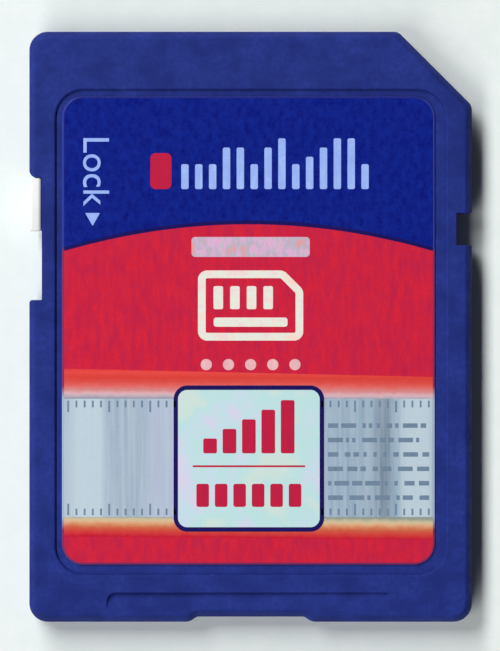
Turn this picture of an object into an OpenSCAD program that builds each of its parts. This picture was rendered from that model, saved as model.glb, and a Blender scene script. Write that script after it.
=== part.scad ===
// A full size memory card. Two moulded covers are welded around a circuit board whose nine
// contacts face the back, a lock slider runs in the left side, and a label sits in a recess.
// Millimetres. The card lies on its back face, with its leading edge towards +Y.

/* [Card] */
// Width across the contacts
card_w = 24; // [23.6:0.1:26]
// Length from the rear edge to the leading edge
card_l = 32; // [31:0.1:36]
// Thickness, from the back face to the front rim
card_t = 2.1; // [2.1:0.05:2.6]
// Radius of the plain corners
corner_r = 1; // [0.6:0.1:1.4]
// Leg of the cut corner, along each edge
corner_cut = 4; // [3:0.1:4.6]
// Radius at the two ends of the cut corner
cut_end_r = 0.5; // [0.4:0.05:0.8]
// Radius of the rounded rim around the front
rim_r = 0.35; // [0.15:0.05:0.38]

/* [Case] */
// Width of the guide rail along each side
rail_w = 0.75; // [0.6:0.05:0.8]
// Thickness of the guide rails
rail_t = 1.4; // [1.3:0.05:1.5]
// Length of the full thickness foot behind the rails
foot_l = 3.5; // [3:0.1:5]
// Wall around the board at the sides and the leading edge
wall = 0.8; // [0.7:0.05:0.9]
// Thickness of the rear wall
rear_wall = 1.95; // [1.7:0.05:2.4]
// Back skin under the board
back_skin = 0.3; // [0.2:0.05:0.4]
// Front skin under the label
front_skin = 0.2; // [0.15:0.05:0.25]
// Width of each ledge and rib that the board lies on
ledge_w = 0.7; // [0.5:0.05:0.9]
// Slope on the nose of the leading edge, at the back
nose = 0.25; // [0.1:0.05:0.4]
// Width of the tongue that locates the front cover on the back cover
tongue_w = 0.3; // [0.2:0.05:0.35]
// Height of that tongue
tongue_h = 0.2; // [0.1:0.05:0.25]

/* [Edges and grooves] */
// Distance from the leading edge to the near end of the lock notch
lock_notch_y = 7.92; // [7.6:0.05:8.4]
// Length of the lock notch
lock_notch_l = 6.63; // [5:0.05:7.4]
// Depth of the lock notch
lock_notch_d = 0.7; // [0.6:0.05:0.75]
// Round at the lock notch's mouth, at its end nearer the contacts
lock_flare_lead = 0.42; // [0.1:0.02:0.5]
// Round at the lock notch's mouth, at its other end
lock_flare_rear = 0.16; // [0.1:0.02:0.5]
// Distance from the leading edge to the near end of the key notch
key_notch_y = 9.85; // [9:0.05:10.5]
// Length of the key notch
key_notch_l = 1.73; // [1.2:0.05:2.2]
// Depth of the key notch
key_notch_d = 0.86; // [0.6:0.02:0.9]
// Rounds at the key notch's mouth
key_flare = 0.1; // [0.05:0.01:0.2]
// Length of the dip in the rear edge, at its floor
dip_w = 5.8; // [4:0.1:8]
// Depth of the dip in the rear edge
dip_d = 0.28; // [0.15:0.01:0.35]
// Run of each sloped end of the dip
dip_run = 0.42; // [0.3:0.02:0.6]
// Length of the nail groove near the rear edge
groove_w = 15.5; // [12:0.1:17]
// Width of the nail groove, up its ramp
groove_l = 0.87; // [0.6:0.05:0.95]
// Depth of the nail groove at its steep wall
groove_d = 0.24; // [0.1:0.02:0.3]
// Distance from the rear edge to the nail groove's steep wall
groove_y = 1.62; // [1.45:0.01:1.75]
// Radius where the steep wall turns into the groove's ends
groove_r = 0.45; // [0.2:0.05:0.5]

/* [Label] */
// Width of the label recess
recess_w = 21.07; // [19:0.05:22]
// Length of the label recess
recess_l = 26.2; // [24:0.05:26.4]
// Depth of the label recess
recess_d = 0.18; // [0.12:0.01:0.22]
// Distance from the leading edge to the recess
recess_y = 3.19; // [3.1:0.01:3.6]
// Margin that the label leaves at its left and towards the leading edge
label_gap = 0.32; // [0.15:0.01:0.5]
// Margin that the label leaves on its right, where it was laid off centre
label_gap_right = 0.55; // [0.3:0.01:0.8]
// Margin that the label leaves at its rear end
label_gap_rear = 0.5; // [0.3:0.01:0.8]
// Thickness of the label
label_t = 0.1; // [0.06:0.01:0.11]
// Corner radius of the label
label_r = 1.15; // [0.5:0.05:1.5]
// Corner radius of the recess
recess_r = 1.5; // [0.6:0.05:1.8]

/* [Lock slider] */
// Length of the slider's grip
grip_l = 2.85; // [2.4:0.05:3.2]
// Length of the foot behind the wall
slide_foot_l = 2.2; // [1.8:0.05:2.3]
// Length of the neck between the grip and the foot
neck_l = 1.6; // [1.2:0.05:1.7]
// Thickness of the neck
neck_t = 0.24; // [0.2:0.02:0.28]
// Width of the foot across the card
slide_foot_w = 0.5; // [0.4:0.02:0.55]
// Wall between the notch and the slider's channel
slot_wall = 0.3; // [0.25:0.01:0.35]
// Radius on the grip's outer edges
grip_r = 0.16; // [0.08:0.02:0.2]
// Radius on the grip's upper edge towards the card
grip_inner_r = 0.25; // [0.08:0.01:0.28]
// Width of the fine grooves along the grip's face
grip_groove_w = 0.1; // [0.06:0.01:0.14]
// Running clearance around the slider
slide_gap = 0.03; // [0.02:0.01:0.04]

/* [Circuit board] */
// Thickness of the board
board_t = 0.4; // [0.3:0.02:0.46]
// Clearance between the board's edge and the walls
board_gap = 0.1; // [0.06:0.01:0.15]
// Pitch of contacts 1 to 6
pitch = 2.5; // [2.45:0.01:2.52]
// Width of the contacts
pad_w = 1.6; // [1.4:0.05:1.7]
// Width of the two narrow contacts
narrow_pad_w = 1; // [0.9:0.02:1.05]
// Length of the contacts
pad_l = 4.2; // [3.8:0.05:4.4]
// Thickness of the contacts
pad_t = 0.04; // [0.03:0.01:0.06]
// Corner radius of the contacts
pad_r = 0.15; // [0.05:0.05:0.4]
// Clearance between a contact and its window
window_gap = 0.07; // [0.04:0.01:0.1]
// Width of the memory package's body across the card
flash_w = 15.4; // [13:0.1:16]
// Length of the memory package's body
flash_l = 12; // [12:0.1:12.6]
// Thickness of both package bodies
package_t = 0.5; // [0.3:0.02:0.52]
// Gap under the package bodies
standoff = 0.03; // [0.02:0.01:0.05]
// Side of the square controller package
controller_w = 6; // [5.4:0.1:6.6]
// Length of the chip resistors and capacitors
chip_l = 1; // [0.8:0.05:1.1]
// Width of the chip resistors and capacitors
chip_w = 0.5; // [0.4:0.05:0.6]
// Pitch of the leads and terminals of both packages
lead_pitch = 0.5; // [0.4:0.05:0.65]

/* [Hidden] */
$fn = 64;

case_blue = "#26327d";
board_green = "#1f5a3a";
package_black = "#202224";
bright_tin = "#c9ccd0";

// How far a cutter reaches past what it cuts
past = 1;
// Fineness of the places where rounds meet straight runs
grid = 0.0001;

// Edges of the card, seen from the front
right = card_w / 2;
lead = card_l / 2;
rear = -card_l / 2;

// Heights above the back face
rail_z = card_t - rail_t;
parting_z = card_t - rail_t / 2;
recess_z = card_t - recess_d;
ceiling_z = recess_z - front_skin;
board_z = rail_z + pad_t;
board_top_z = board_z + board_t;
package_z = board_top_z + standoff;
seat_gap = 0.03;

// The two side notches
lock_y1 = lead - lock_notch_y;
lock_y0 = lock_y1 - lock_notch_l;
lock_x = -right + lock_notch_d;
key_y1 = lead - key_notch_y;
key_y0 = key_y1 - key_notch_l;
key_x = right - key_notch_d;

// Wall left around the slider's channel and behind the key notch
pier = 0.3;
key_pier = 0.6;
channel_x0 = lock_x + slot_wall;
channel_x1 = channel_x0 + slide_foot_w + 2 * slide_gap;
pier_x = channel_x1 + pier;

// Slider: its foot stands evenly about the parting line, below the ceiling
foot_half_t = ceiling_z - slide_gap - parting_z;
grip_y1 = lock_y1 - slide_gap;
grip_y = grip_y1 - grip_l / 2;

// Label and its recess
recess_y1 = lead - recess_y;
recess_y0 = recess_y1 - recess_l;

// Contacts: numbered from the cut corner, with number 9 beyond number 1
step_7 = 2.42;
step_8 = 1.7;
pad_inset = 0.3;
corner_pad_inset = 0.25;
contact_1_x = 2.75 * pitch;
contact_7_x = contact_1_x - 5 * pitch - step_7;
contact_8_x = contact_7_x - step_8;
pads_y1 = lead - wall - board_gap - pad_inset;
// Room that a window leaves past its contact's rear end
window_end = 0.2;
// Depth of the rib comb behind the leading edge, to the far end of window 9
comb_y0 = corner_pad_y1() - pad_l - window_end - ledge_w;

// Parts on the board, from the rear wall towards the contacts
flash_margin = 0.75;
controller_step = 0.9;
resistor_step = 1.3;
flash_y = rear + rear_wall + board_gap + flash_margin + flash_l / 2;
controller_y = flash_y + flash_l / 2 + controller_step + controller_w / 2;
resistor_y = controller_y + controller_w / 2 + resistor_step;

// Radii of the board's plain corners and of the ends of its cut corner
board_r = 0.4;
board_cut_r = 0.3;
// How far the tongue stops short of a corner or a notch
tongue_end = 1;
// Ribs that hold the board down, and how far they keep from its edges and from the notch
hold_rib_w = 0.4;
hold_rib_inset = 0.3;
hold_rib_end = 0.5;

function unit(v) = v / norm(v);

// Corners of the card's outline, moved in by the given walls, anticlockwise from rear left
function card_corners(side, front, back) =
    let (
        x = right - side,
        y1 = lead - front,
        y0 = rear + back,
        reach = right + lead - corner_cut - side * sqrt(2)
    )
    [[-x, y0], [x, y0], [x, reach - x], [reach - y1, y1], [-x, y1]];

// Radius at each of those corners
function card_radii(plain, cut) = [plain, plain, cut, cut, plain];

// Directions from corner i of outline p to the corner before it and to the one after it
function to_last(p, i) = unit(p[(i + len(p) - 1) % len(p)] - p[i]);
function to_next(p, i) = unit(p[(i + 1) % len(p)] - p[i]);
function half_angle(p, i) = acos(to_last(p, i) * to_next(p, i)) / 2;

// A point moved to the nearest ten-thousandth of a millimetre, so that rounds and runs meet
function on_grid(v) = [round(v[0] / grid) * grid, round(v[1] / grid) * grid];

// Centre of a round of radius r in corner i, and the points where it meets the edges
function round_centre(p, i, r) =
    on_grid(p[i] + unit(to_last(p, i) + to_next(p, i)) * r / sin(half_angle(p, i)));
function round_start(p, i, r) = on_grid(p[i] + to_last(p, i) * r / tan(half_angle(p, i)));
function round_end(p, i, r) = on_grid(p[i] + to_next(p, i) * r / tan(half_angle(p, i)));

// Place of the corner contact's leading end, clear of the board's cut edge
function corner_pad_x() = contact_1_x + pitch;
function corner_pad_y1() =
    let (edge = card_corners(wall + board_gap, wall + board_gap, rear_wall))
    edge[2][0] + edge[2][1] - corner_pad_x() - pad_w / 2 - corner_pad_inset;

// Place across the card, width and leading end of contact i
function contact_x(i) =
    i == 9 ? corner_pad_x()
    : i == 8 ? contact_8_x
    : i == 7 ? contact_7_x
    : contact_1_x - (i - 1) * pitch;
function contact_w(i) = i == 7 || i == 8 ? narrow_pad_w : pad_w;
function contact_y1(i) = i == 9 ? corner_pad_y1() : pads_y1;

// Outline p with a round of radius r[i] in each corner
module rounded_outline(p, r) {
    polygon([
        for (i = [0 : len(p) - 1])
            each [round_start(p, i, r[i]), round_end(p, i, r[i])]
    ]);
    for (i = [0 : len(p) - 1])
        translate(round_centre(p, i, r[i])) circle(r[i]);
}

module rounded_rect(w, l, r) {
    rounded_outline([[-w, -l], [w, -l], [w, l], [-w, l]] / 2, [r, r, r, r]);
}

// Corner left outside a quarter circle, with its square corner at the origin
module flare(r) {
    difference() {
        square(r);
        translate([r, r]) circle(r);
    }
}

// Notch in the left side, from y0 to y1, whose mouth is eased by r0 and r1
module notch_plan(y0, y1, depth, r0, r1) {
    translate([-right - past, y0]) square([depth + past, y1 - y0]);
    translate([-right, y1]) flare(r1);
    translate([-right, y0]) mirror([0, 1]) flare(r0);
}

module lock_notch_plan() {
    notch_plan(lock_y0, lock_y1, lock_notch_d, lock_flare_rear, lock_flare_lead);
}

module key_notch_plan() {
    mirror([1, 0]) notch_plan(key_y0, key_y1, key_notch_d, key_flare, key_flare);
}

// Corners of the dip in the rear edge, with its sloped ends
function dip_corners() =
    let (half = dip_w / 2, floor_y = rear + dip_d)
    [[-half - dip_run, rear], [-half, floor_y], [half, floor_y], [half + dip_run, rear]];

module dip_plan() {
    p = dip_corners();
    over = past * dip_run / dip_d;
    polygon([[p[0][0] - over, rear - past], [p[3][0] + over, rear - past], p[2], p[1]]);
}

module card_plan() {
    difference() {
        rounded_outline(card_corners(0, 0, 0), card_radii(corner_r, cut_end_r));
        lock_notch_plan();
        key_notch_plan();
        dip_plan();
    }
}

// Room for the board between the walls, less the given gap all round
module pocket_plan(gap) {
    edge = card_corners(wall + gap, wall + gap, rear_wall + gap);
    lock_end = pier + gap;
    key_end = key_pier + gap;
    difference() {
        rounded_outline(edge, card_radii(board_r, board_cut_r));
        translate([-right, lock_y0 - lock_end])
            square([right + pier_x + gap, lock_notch_l + 2 * lock_end]);
        translate([key_x - key_end, key_y0 - key_end])
            square([key_notch_d + key_end, key_notch_l + 2 * key_end]);
    }
}

// What rounding the rim takes off, in section: the edge is the origin, +X is outwards
module rim_section() {
    difference() {
        translate([-rim_r, -rim_r]) square(rim_r + past);
        translate([-rim_r, -rim_r]) circle(rim_r);
    }
}

// That section along a straight edge, from a to b with the card on the left
module straight_rim(a, b) {
    d = b - a;
    translate([b[0], b[1], card_t])
        rotate([0, 0, atan2(d[1], d[0]) - 90])
            rotate([90, 0, 0])
                linear_extrude(norm(d)) rim_section();
}

module rim_cut() {
    p = card_corners(0, 0, 0);
    r = card_radii(corner_r, cut_end_r);
    n = len(p);
    for (i = [0 : n - 1]) {
        j = (i + 1) % n;
        arrival = -to_last(p, i);
        straight_rim(round_end(p, i, r[i]), round_start(p, j, r[j]));
        translate([round_centre(p, i, r[i])[0], round_centre(p, i, r[i])[1], card_t])
            rotate([0, 0, atan2(arrival[1], arrival[0]) - 90])
                rotate_extrude(angle = 180 - 2 * half_angle(p, i))
                    translate([r[i], 0]) rim_section();
    }
    dip_rim();
}

// The rim along the dip, whose runs overlap a little in its two inner corners
module dip_rim() {
    p = dip_corners();
    lap = rim_r / 3;
    slope = unit(p[1] - p[0]) * lap;
    straight_rim(p[0], on_grid(p[1] + slope));
    straight_rim(p[1] - [lap, 0], p[2] + [lap, 0]);
    straight_rim(on_grid(p[2] - [slope[0], -slope[1]]), p[3]);
}

// Wedge that a finger nail catches: steep towards the contacts, a ramp towards the rear
module groove_cut() {
    intersection() {
        translate([-groove_w / 2, rear + groove_y, card_t])
            rotate([90, 0, 90])
                linear_extrude(groove_w)
                    polygon([[0, past], [0, -groove_d], [-groove_l, 0], [-groove_l, past]]);
        translate([0, rear + groove_y - groove_l, card_t - past]) linear_extrude(3 * past) groove_plan();
    }
}

// Outline of the groove, past its ramp's end and rounded where the steep wall ends
module groove_plan() {
    x = groove_w / 2;
    translate([-x - past, -past]) square([groove_w + 2 * past, groove_l - groove_r + past]);
    translate([-x + groove_r, -past]) square([groove_w - 2 * groove_r, groove_l + 2 * past]);
    for (end = [-1, 1]) translate([end * (x - groove_r), groove_l - groove_r]) circle(groove_r);
}

// Slot for the slider's neck and channel for its foot, over the slider's whole travel
module lock_channel_cut() {
    slot_y = (grip_l - neck_l) / 2;
    foot_y = (grip_l - slide_foot_l) / 2;
    slot_t = neck_t + 2 * slide_gap;
    foot_t = 2 * (foot_half_t + slide_gap);
    translate([lock_x - past / 4, lock_y0 + slot_y, parting_z - slot_t / 2])
        cube([slot_wall + past / 2, lock_notch_l - 2 * slot_y, slot_t]);
    translate([channel_x0, lock_y0 + foot_y, parting_z - foot_t / 2])
        cube([channel_x1 - channel_x0, lock_notch_l - 2 * foot_y, foot_t]);
}

// Straight runs of the tongue, less or more the given clearance
module tongue_runs(gap) {
    w = tongue_w + 2 * gap;
    x = right - wall / 2;
    corner = corner_r + tongue_end;
    left_runs = [[rear + corner, lock_y0 - tongue_end], [lock_y1 + tongue_end, lead - corner]];
    right_runs = [
        [rear + corner, key_y0 - tongue_end],
        [key_y1 + tongue_end, lead - corner_cut - tongue_end]
    ];
    for (run = left_runs)
        translate([-x - w / 2, run[0] - gap]) square([w, run[1] - run[0] + 2 * gap]);
    for (run = right_runs)
        translate([x - w / 2, run[0] - gap]) square([w, run[1] - run[0] + 2 * gap]);
    rear_x = x - corner;
    translate([-rear_x - gap, rear + rear_wall - wall / 2 - w / 2])
        square([2 * rear_x + 2 * gap, w]);
}

// Window over contact i, open at the leading edge
module window_cut(i) {
    w = contact_w(i) + 2 * window_gap;
    y0 = contact_y1(i) - pad_l - window_end;
    translate([contact_x(i) - w / 2, y0, -past])
        cube([w, lead + past - y0, board_z + past]);
}

// Moulded back half of the case, with its guide rails and the comb around the contacts
module back_cover() {
    color(case_blue) {
        difference() {
            linear_extrude(parting_z) card_plan();
            for (side = [-1, 1])
                translate([side * right - rail_w, rear + foot_l, -past])
                    cube([2 * rail_w, card_l - foot_l + past, rail_z + past]);
            translate([0, 0, board_z]) linear_extrude(parting_z) pocket_plan(0);
            translate([0, 0, back_skin]) linear_extrude(parting_z) under_board_plan();
            for (i = [1:9]) window_cut(i);
            nose_cut();
            translate([0, 0, parting_z - tongue_h - seat_gap])
                linear_extrude(past) tongue_runs(seat_gap);
            lock_channel_cut();
        }
    }
}

// Slope along the back of the leading edge
module nose_cut() {
    translate([-right - past, lead, 0])
        rotate([90, 0, 90])
            linear_extrude(card_w + 2 * past)
                polygon([[-nose, -past], [past, -past], [past, nose + past], [0, nose], [-nose, 0]]);
}

// Hollow between the back skin and the board, crossed by three ribs
module under_board_plan() {
    x = right - wall - ledge_w;
    y0 = rear + rear_wall + ledge_w;
    difference() {
        intersection() {
            translate([-x, y0]) square([2 * x, comb_y0 - y0]);
            pocket_plan(ledge_w);
        }
        for (rib = [-1:1])
            translate([rib * x / 2 - ledge_w / 2, y0 - past])
                square([ledge_w, comb_y0 - y0 + 2 * past]);
    }
}

// Moulded front half of the case, with the label recess and the nail groove
module front_cover() {
    color(case_blue) {
        difference() {
            translate([0, 0, parting_z])
                linear_extrude(card_t - parting_z) card_plan();
            rim_cut();
            groove_cut();
            translate([0, (recess_y0 + recess_y1) / 2, recess_z])
                linear_extrude(past) rounded_rect(recess_w, recess_l, recess_r);
            translate([0, 0, parting_z - past])
                linear_extrude(ceiling_z - parting_z + past) pocket_plan(0);
            lock_channel_cut();
        }
        translate([0, 0, parting_z - tongue_h])
            linear_extrude(tongue_h) tongue_runs(0);
        hold_down_ribs();
    }
}

// Ribs under the front skin that hold the board down on its ledges
module hold_down_ribs() {
    z = board_top_z + seat_gap;
    edge = wall + board_gap + hold_rib_inset;
    x = right - edge - hold_rib_w / 2;
    y0 = rear + rear_wall + board_gap + hold_rib_end;
    y1 = lock_y0 - pier - hold_rib_end;
    front_x0 = -right + edge + tongue_end;
    front_x1 = right - corner_cut - edge;
    translate([0, 0, z]) linear_extrude(ceiling_z - z) {
        for (side = [-1, 1])
            translate([side * x - hold_rib_w / 2, y0]) square([hold_rib_w, y1 - y0]);
        translate([front_x0, lead - edge - hold_rib_w]) square([front_x1 - front_x0, hold_rib_w]);
    }
}

// White slider that marks the card as locked, drawn at the unlocked end of its travel
module lock_slider() {
    grip_x0 = -right + slide_gap;
    grip_w = lock_notch_d - 2 * slide_gap;
    grip_z0 = rail_z + slide_gap;
    grip_z1 = card_t - 2 * slide_gap;
    color("#f7f6f1") {
        translate([grip_x0, grip_y + grip_l / 2, grip_z0])
            rotate([90, 0, 0])
                linear_extrude(grip_l) grip_section(grip_w, grip_z1 - grip_z0);
        translate([grip_x0 + grip_w, grip_y - neck_l / 2, parting_z - neck_t / 2])
            cube([channel_x0 + 2 * slide_gap - grip_x0 - grip_w, neck_l, neck_t]);
        translate([channel_x0 + slide_gap, grip_y - slide_foot_l / 2, parting_z - foot_half_t])
            cube([slide_foot_w, slide_foot_l, 2 * foot_half_t]);
    }
}

// Section of the grip: rounded where it is touched, with fine grooves along its face
module grip_section(w, t) {
    half = grip_groove_w / 2;
    difference() {
        union() {
            translate([grip_r, 0]) square([w - grip_r - grip_inner_r, t]);
            translate([0, grip_r]) square([w, t - grip_r - grip_inner_r]);
            translate([w / 2, 0]) square([w / 2, t / 2]);
            for (z = [grip_r, t - grip_r]) translate([grip_r, z]) circle(grip_r);
            translate([w - grip_inner_r, t - grip_inner_r]) circle(grip_inner_r);
        }
        for (k = [-1:1])
            translate([0, t / 2 + k * t / 5]) polygon([[-half, -2 * half], [half, 0], [-half, 2 * half]]);
    }
}

// Printed label, laid towards the left and the leading edge of its recess
module label() {
    w = recess_w - label_gap - label_gap_right;
    l = recess_l - label_gap - label_gap_rear;
    x = (label_gap - label_gap_right) / 2;
    y = (recess_y0 + recess_y1 + label_gap_rear - label_gap) / 2;
    color("#c7284a")
        translate([x, y, recess_z]) linear_extrude(label_t) rounded_rect(w, l, label_r);
}

// Board that carries the contacts on one side and the packages on the other
module circuit_board() {
    color(board_green)
        translate([0, 0, board_z]) linear_extrude(board_t) pocket_plan(board_gap);
}

// Gold contact number i, on the board's underside
module contact(i) {
    w = contact_w(i);
    color("#d9a441")
        translate([contact_x(i), contact_y1(i) - pad_l / 2, rail_z])
            linear_extrude(pad_t) rounded_rect(w, pad_l, pad_r);
}

// Body of a moulded package, with a mark sunk at its first lead
module package(w, l, t) {
    mark_r = min(w, l) / 12;
    mark_d = t / 10;
    color(package_black)
        difference() {
            translate([-w / 2, -l / 2]) cube([w, l, t]);
            translate([-w / 2 + 2 * mark_r, l / 2 - 2 * mark_r, t - mark_d]) cylinder(past, r = mark_r);
        }
}

module flash_memory() {
    translate([0, flash_y, package_z]) package(flash_w, flash_l, package_t);
}

// Two rows of formed leads, from the middle of the package's side to the board
module flash_leads() {
    count = floor(flash_l / lead_pitch);
    color(bright_tin)
        for (side = [0, 1], k = [0 : count - 1])
            translate([0, flash_y + (k - (count - 1) / 2) * lead_pitch, board_top_z])
                mirror([side, 0])
                    translate([flash_w / 2, 0, 0]) formed_lead(0.4 * lead_pitch);
}

// One lead: out of the package, down, and out again along the board
module formed_lead(w) {
    t = 0.08;
    z = standoff + package_t / 2;
    shoulder = 0.16;
    bend = 0.1;
    toe = 0.7;
    side = 0.06;
    translate([0, w / 2, 0])
        rotate([90, 0, 0])
            linear_extrude(w)
                polygon([
                    [0, z + t], [0, z], [shoulder, z], [shoulder + bend, 0],
                    [toe, 0], [toe, t], [shoulder + bend + side, t], [shoulder + side, z + t]
                ]);
}

module controller() {
    translate([0, controller_y, package_z]) package(controller_w, controller_w, package_t);
}

// Flat terminals between the controller's body and the board
module controller_terminals() {
    count = floor(controller_w / lead_pitch) - 2;
    terminal = [0.45, 0.24, standoff];
    color(bright_tin)
        for (side = [0:3], k = [0 : count - 1]) {
            y = (k - (count - 1) / 2) * lead_pitch;
            translate([0, controller_y, board_top_z])
                rotate([0, 0, 90 * side])
                    translate([(controller_w - lead_pitch - terminal[0]) / 2, y - terminal[1] / 2, 0])
                        cube(terminal);
        }
}

// Chip part lying along X: a body between two metal end caps
module chip_part(t, body_colour) {
    cap_l = chip_l / 4;
    cap_t = 0.01;
    color(body_colour)
        translate([-chip_l / 2 + cap_l, -chip_w / 2 + cap_t, 0])
            cube([chip_l - 2 * cap_l, chip_w - 2 * cap_t, t - cap_t]);
    color(bright_tin)
        for (end = [-1, 1])
            translate([end * (chip_l - cap_l) / 2 - cap_l / 2, -chip_w / 2, 0]) cube([cap_l, chip_w, t]);
}

// Capacitors stand in pairs on both sides of the controller
module capacitor(i) {
    side = i % 2 == 0 ? 1 : -1;
    row = i > 2 ? 1 : -1;
    x = controller_w / 2 + 4 * chip_w;
    translate([side * x, controller_y + row * controller_w / 5, board_top_z])
        rotate([0, 0, 90]) chip_part(0.9 * chip_w, "#b08a5a");
}

// Resistors stand in a row, one behind each wide contact
module resistor(i) {
    translate([contact_x(i), resistor_y, board_top_z])
        rotate([0, 0, 90]) chip_part(0.64 * chip_w, package_black);
}

front_cover();
back_cover();
lock_slider();
label();
circuit_board();
for (i = [1:9])
    contact(i);
flash_memory();
flash_leads();
controller();
controller_terminals();
for (i = [1:4])
    capacitor(i);
for (i = [1:6])
    resistor(i);
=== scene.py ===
"""Looks of the memory card: moulded case, lock slider, printed label and dressed board."""

import logging
import math
import random
from collections.abc import Iterable, Sequence
from dataclasses import dataclass
from enum import Enum

import bmesh
import bpy
from bmesh.types import BMEdge, BMesh, BMVert
from bpy.types import Material, Node, NodeSocket, Object
from mathutils import Matrix, Vector

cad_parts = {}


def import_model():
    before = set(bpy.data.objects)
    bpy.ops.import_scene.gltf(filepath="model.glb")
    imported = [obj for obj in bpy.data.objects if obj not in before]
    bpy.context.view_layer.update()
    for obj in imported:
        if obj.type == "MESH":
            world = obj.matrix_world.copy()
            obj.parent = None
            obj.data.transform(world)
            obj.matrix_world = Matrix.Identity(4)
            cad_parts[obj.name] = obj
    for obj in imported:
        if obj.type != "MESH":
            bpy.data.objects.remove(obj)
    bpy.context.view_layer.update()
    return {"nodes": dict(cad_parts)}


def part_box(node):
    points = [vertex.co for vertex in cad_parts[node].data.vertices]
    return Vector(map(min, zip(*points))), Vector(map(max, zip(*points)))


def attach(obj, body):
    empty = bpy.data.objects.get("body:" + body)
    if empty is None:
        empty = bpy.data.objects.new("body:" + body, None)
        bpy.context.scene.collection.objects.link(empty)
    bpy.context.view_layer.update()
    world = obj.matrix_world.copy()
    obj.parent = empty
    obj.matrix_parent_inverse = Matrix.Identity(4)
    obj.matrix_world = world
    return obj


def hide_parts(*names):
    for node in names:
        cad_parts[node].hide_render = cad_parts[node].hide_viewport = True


LOG = logging.getLogger("memory_card")

MM = 0.001
CONTACTS = 9

# In millimetres: how far a cutter reaches past what it cuts, how far joined solids reach into
# each other, how near two places count as one, and a place beyond every piece
PAST = 1.0
BITE = 0.05
NEAR = 0.001
FAR = 100.0

Point = tuple[float, float]
Tint = tuple[float, float, float, float]
Stop = tuple[float, Tint]
Stops = tuple[Stop, ...]


class Body(Enum):
    """Moving bodies of the frame."""

    CARD = "card"
    SLIDER = "slider"


class Slot(Enum):
    """Material slots of the record, passed along with each modelled piece."""

    CASE = "case_plastic"
    SLIDER = "slider_plastic"
    LABEL = "label_film"


class Cut(Enum):
    """How one solid is combined with another."""

    AWAY = "DIFFERENCE"
    JOIN = "UNION"


def tint(red: int, green: int, blue: int) -> Tint:
    """Turn a colour as seen on a screen into the linear colour that a shader takes.

    Args:
        red: Red, from 0 to 255.
        green: Green, from 0 to 255.
        blue: Blue, from 0 to 255.

    Returns:
        The linear colour, with an alpha of 1.
    """
    shares = (value / 255 for value in (red, green, blue))
    linear = (s / 12.92 if s <= 0.04045 else ((s + 0.055) / 1.055) ** 2.4 for s in shares)
    return (*linear, 1.0)


def node_box(name: str) -> tuple[Vector, Vector]:
    """Give the lowest and highest corner of a CAD node in millimetres."""
    low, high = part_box(name)
    return Vector(low) / MM, Vector(high) / MM


# Meshes


def thicken(mesh: BMesh, height: float, along: Sequence[float] = (0, 0, 1)) -> None:
    """Turn the flat faces of a mesh into a closed solid.

    Args:
        mesh: Mesh that holds flat faces only.
        height: Thickness in millimetres.
        along: Direction to thicken in, of length 1.
    """
    made = bmesh.ops.extrude_face_region(mesh, geom=list(mesh.faces))
    moved = [item for item in made["geom"] if isinstance(item, BMVert)]
    bmesh.ops.translate(mesh, verts=moved, vec=[share * height * MM for share in along])
    bmesh.ops.recalc_face_normals(mesh, faces=list(mesh.faces))


def round_corner(mesh: BMesh, corner: BMVert, radius: float, step: float = 7.5) -> None:
    """Replace one corner of a flat outline by an arc.

    Args:
        mesh: Mesh that holds the outline's face.
        corner: The corner to round.
        radius: Radius of the arc in millimetres.
        step: Largest turn of one facet, in degrees.
    """
    before, after = (edge.other_vert(corner).co - corner.co for edge in corner.link_edges)
    opening = before.angle(after)
    turn = 180 - math.degrees(opening)
    bmesh.ops.bevel(
        mesh,
        geom=[corner],
        offset=radius * MM / math.tan(opening / 2),
        offset_type="OFFSET",
        segments=max(3, round(turn / step)),
        profile=0.5,
        affect="VERTICES",
        clamp_overlap=False,
        material=-1,
    )


def sheet(corners: Sequence[Point], radii: Sequence[float], height: float) -> BMesh:
    """Make a flat face with rounded corners.

    Args:
        corners: Outline in millimetres.
        radii: Radius at each corner, 0 for a sharp one.
        height: Height of the face.

    Returns:
        A mesh of one face.
    """
    mesh = bmesh.new()
    verts = [mesh.verts.new((x * MM, y * MM, height * MM)) for x, y in corners]
    mesh.faces.new(verts)
    for vert, radius in zip(verts, radii):
        if radius > 0:
            round_corner(mesh, vert, radius)
    return mesh


def plate(corners: Sequence[Point], radii: Sequence[float], low: float, high: float) -> BMesh:
    """Make a flat plate with rounded corners.

    Args:
        corners: Outline in millimetres.
        radii: Radius at each corner, 0 for a sharp one.
        low: Height of the underside.
        high: Height of the top.

    Returns:
        A closed mesh.
    """
    mesh = sheet(corners, radii, low)
    thicken(mesh, high - low)
    return mesh


def rect_corners(low: Point, high: Point) -> list[Point]:
    """Give the corners of a rectangle, anticlockwise."""
    return [(low[0], low[1]), (high[0], low[1]), (high[0], high[1]), (low[0], high[1])]


def bar(low: Point, high: Point, radius: float, heights: Point) -> BMesh:
    """Make a rectangular plate whose four corners share one radius.

    Args:
        low: Lowest corner in plan.
        high: Highest corner in plan.
        radius: Radius of the corners, 0 for sharp ones.
        heights: Height of the underside and of the top.

    Returns:
        A closed mesh.
    """
    return plate(rect_corners(low, high), [radius] * 4, *heights)


def block(low: Sequence[float], high: Sequence[float]) -> BMesh:
    """Make a box between two corners given in millimetres.

    Args:
        low: Lowest corner.
        high: Highest corner.

    Returns:
        A closed mesh.
    """
    mesh = bmesh.new()
    middle = [(a + b) / 2 * MM for a, b in zip(low, high)]
    size = [(b - a) * MM for a, b in zip(low, high)]
    place = Matrix.Translation(middle) @ Matrix.Diagonal((*size, 1))
    bmesh.ops.create_cube(mesh, size=1, matrix=place)
    return mesh


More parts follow.
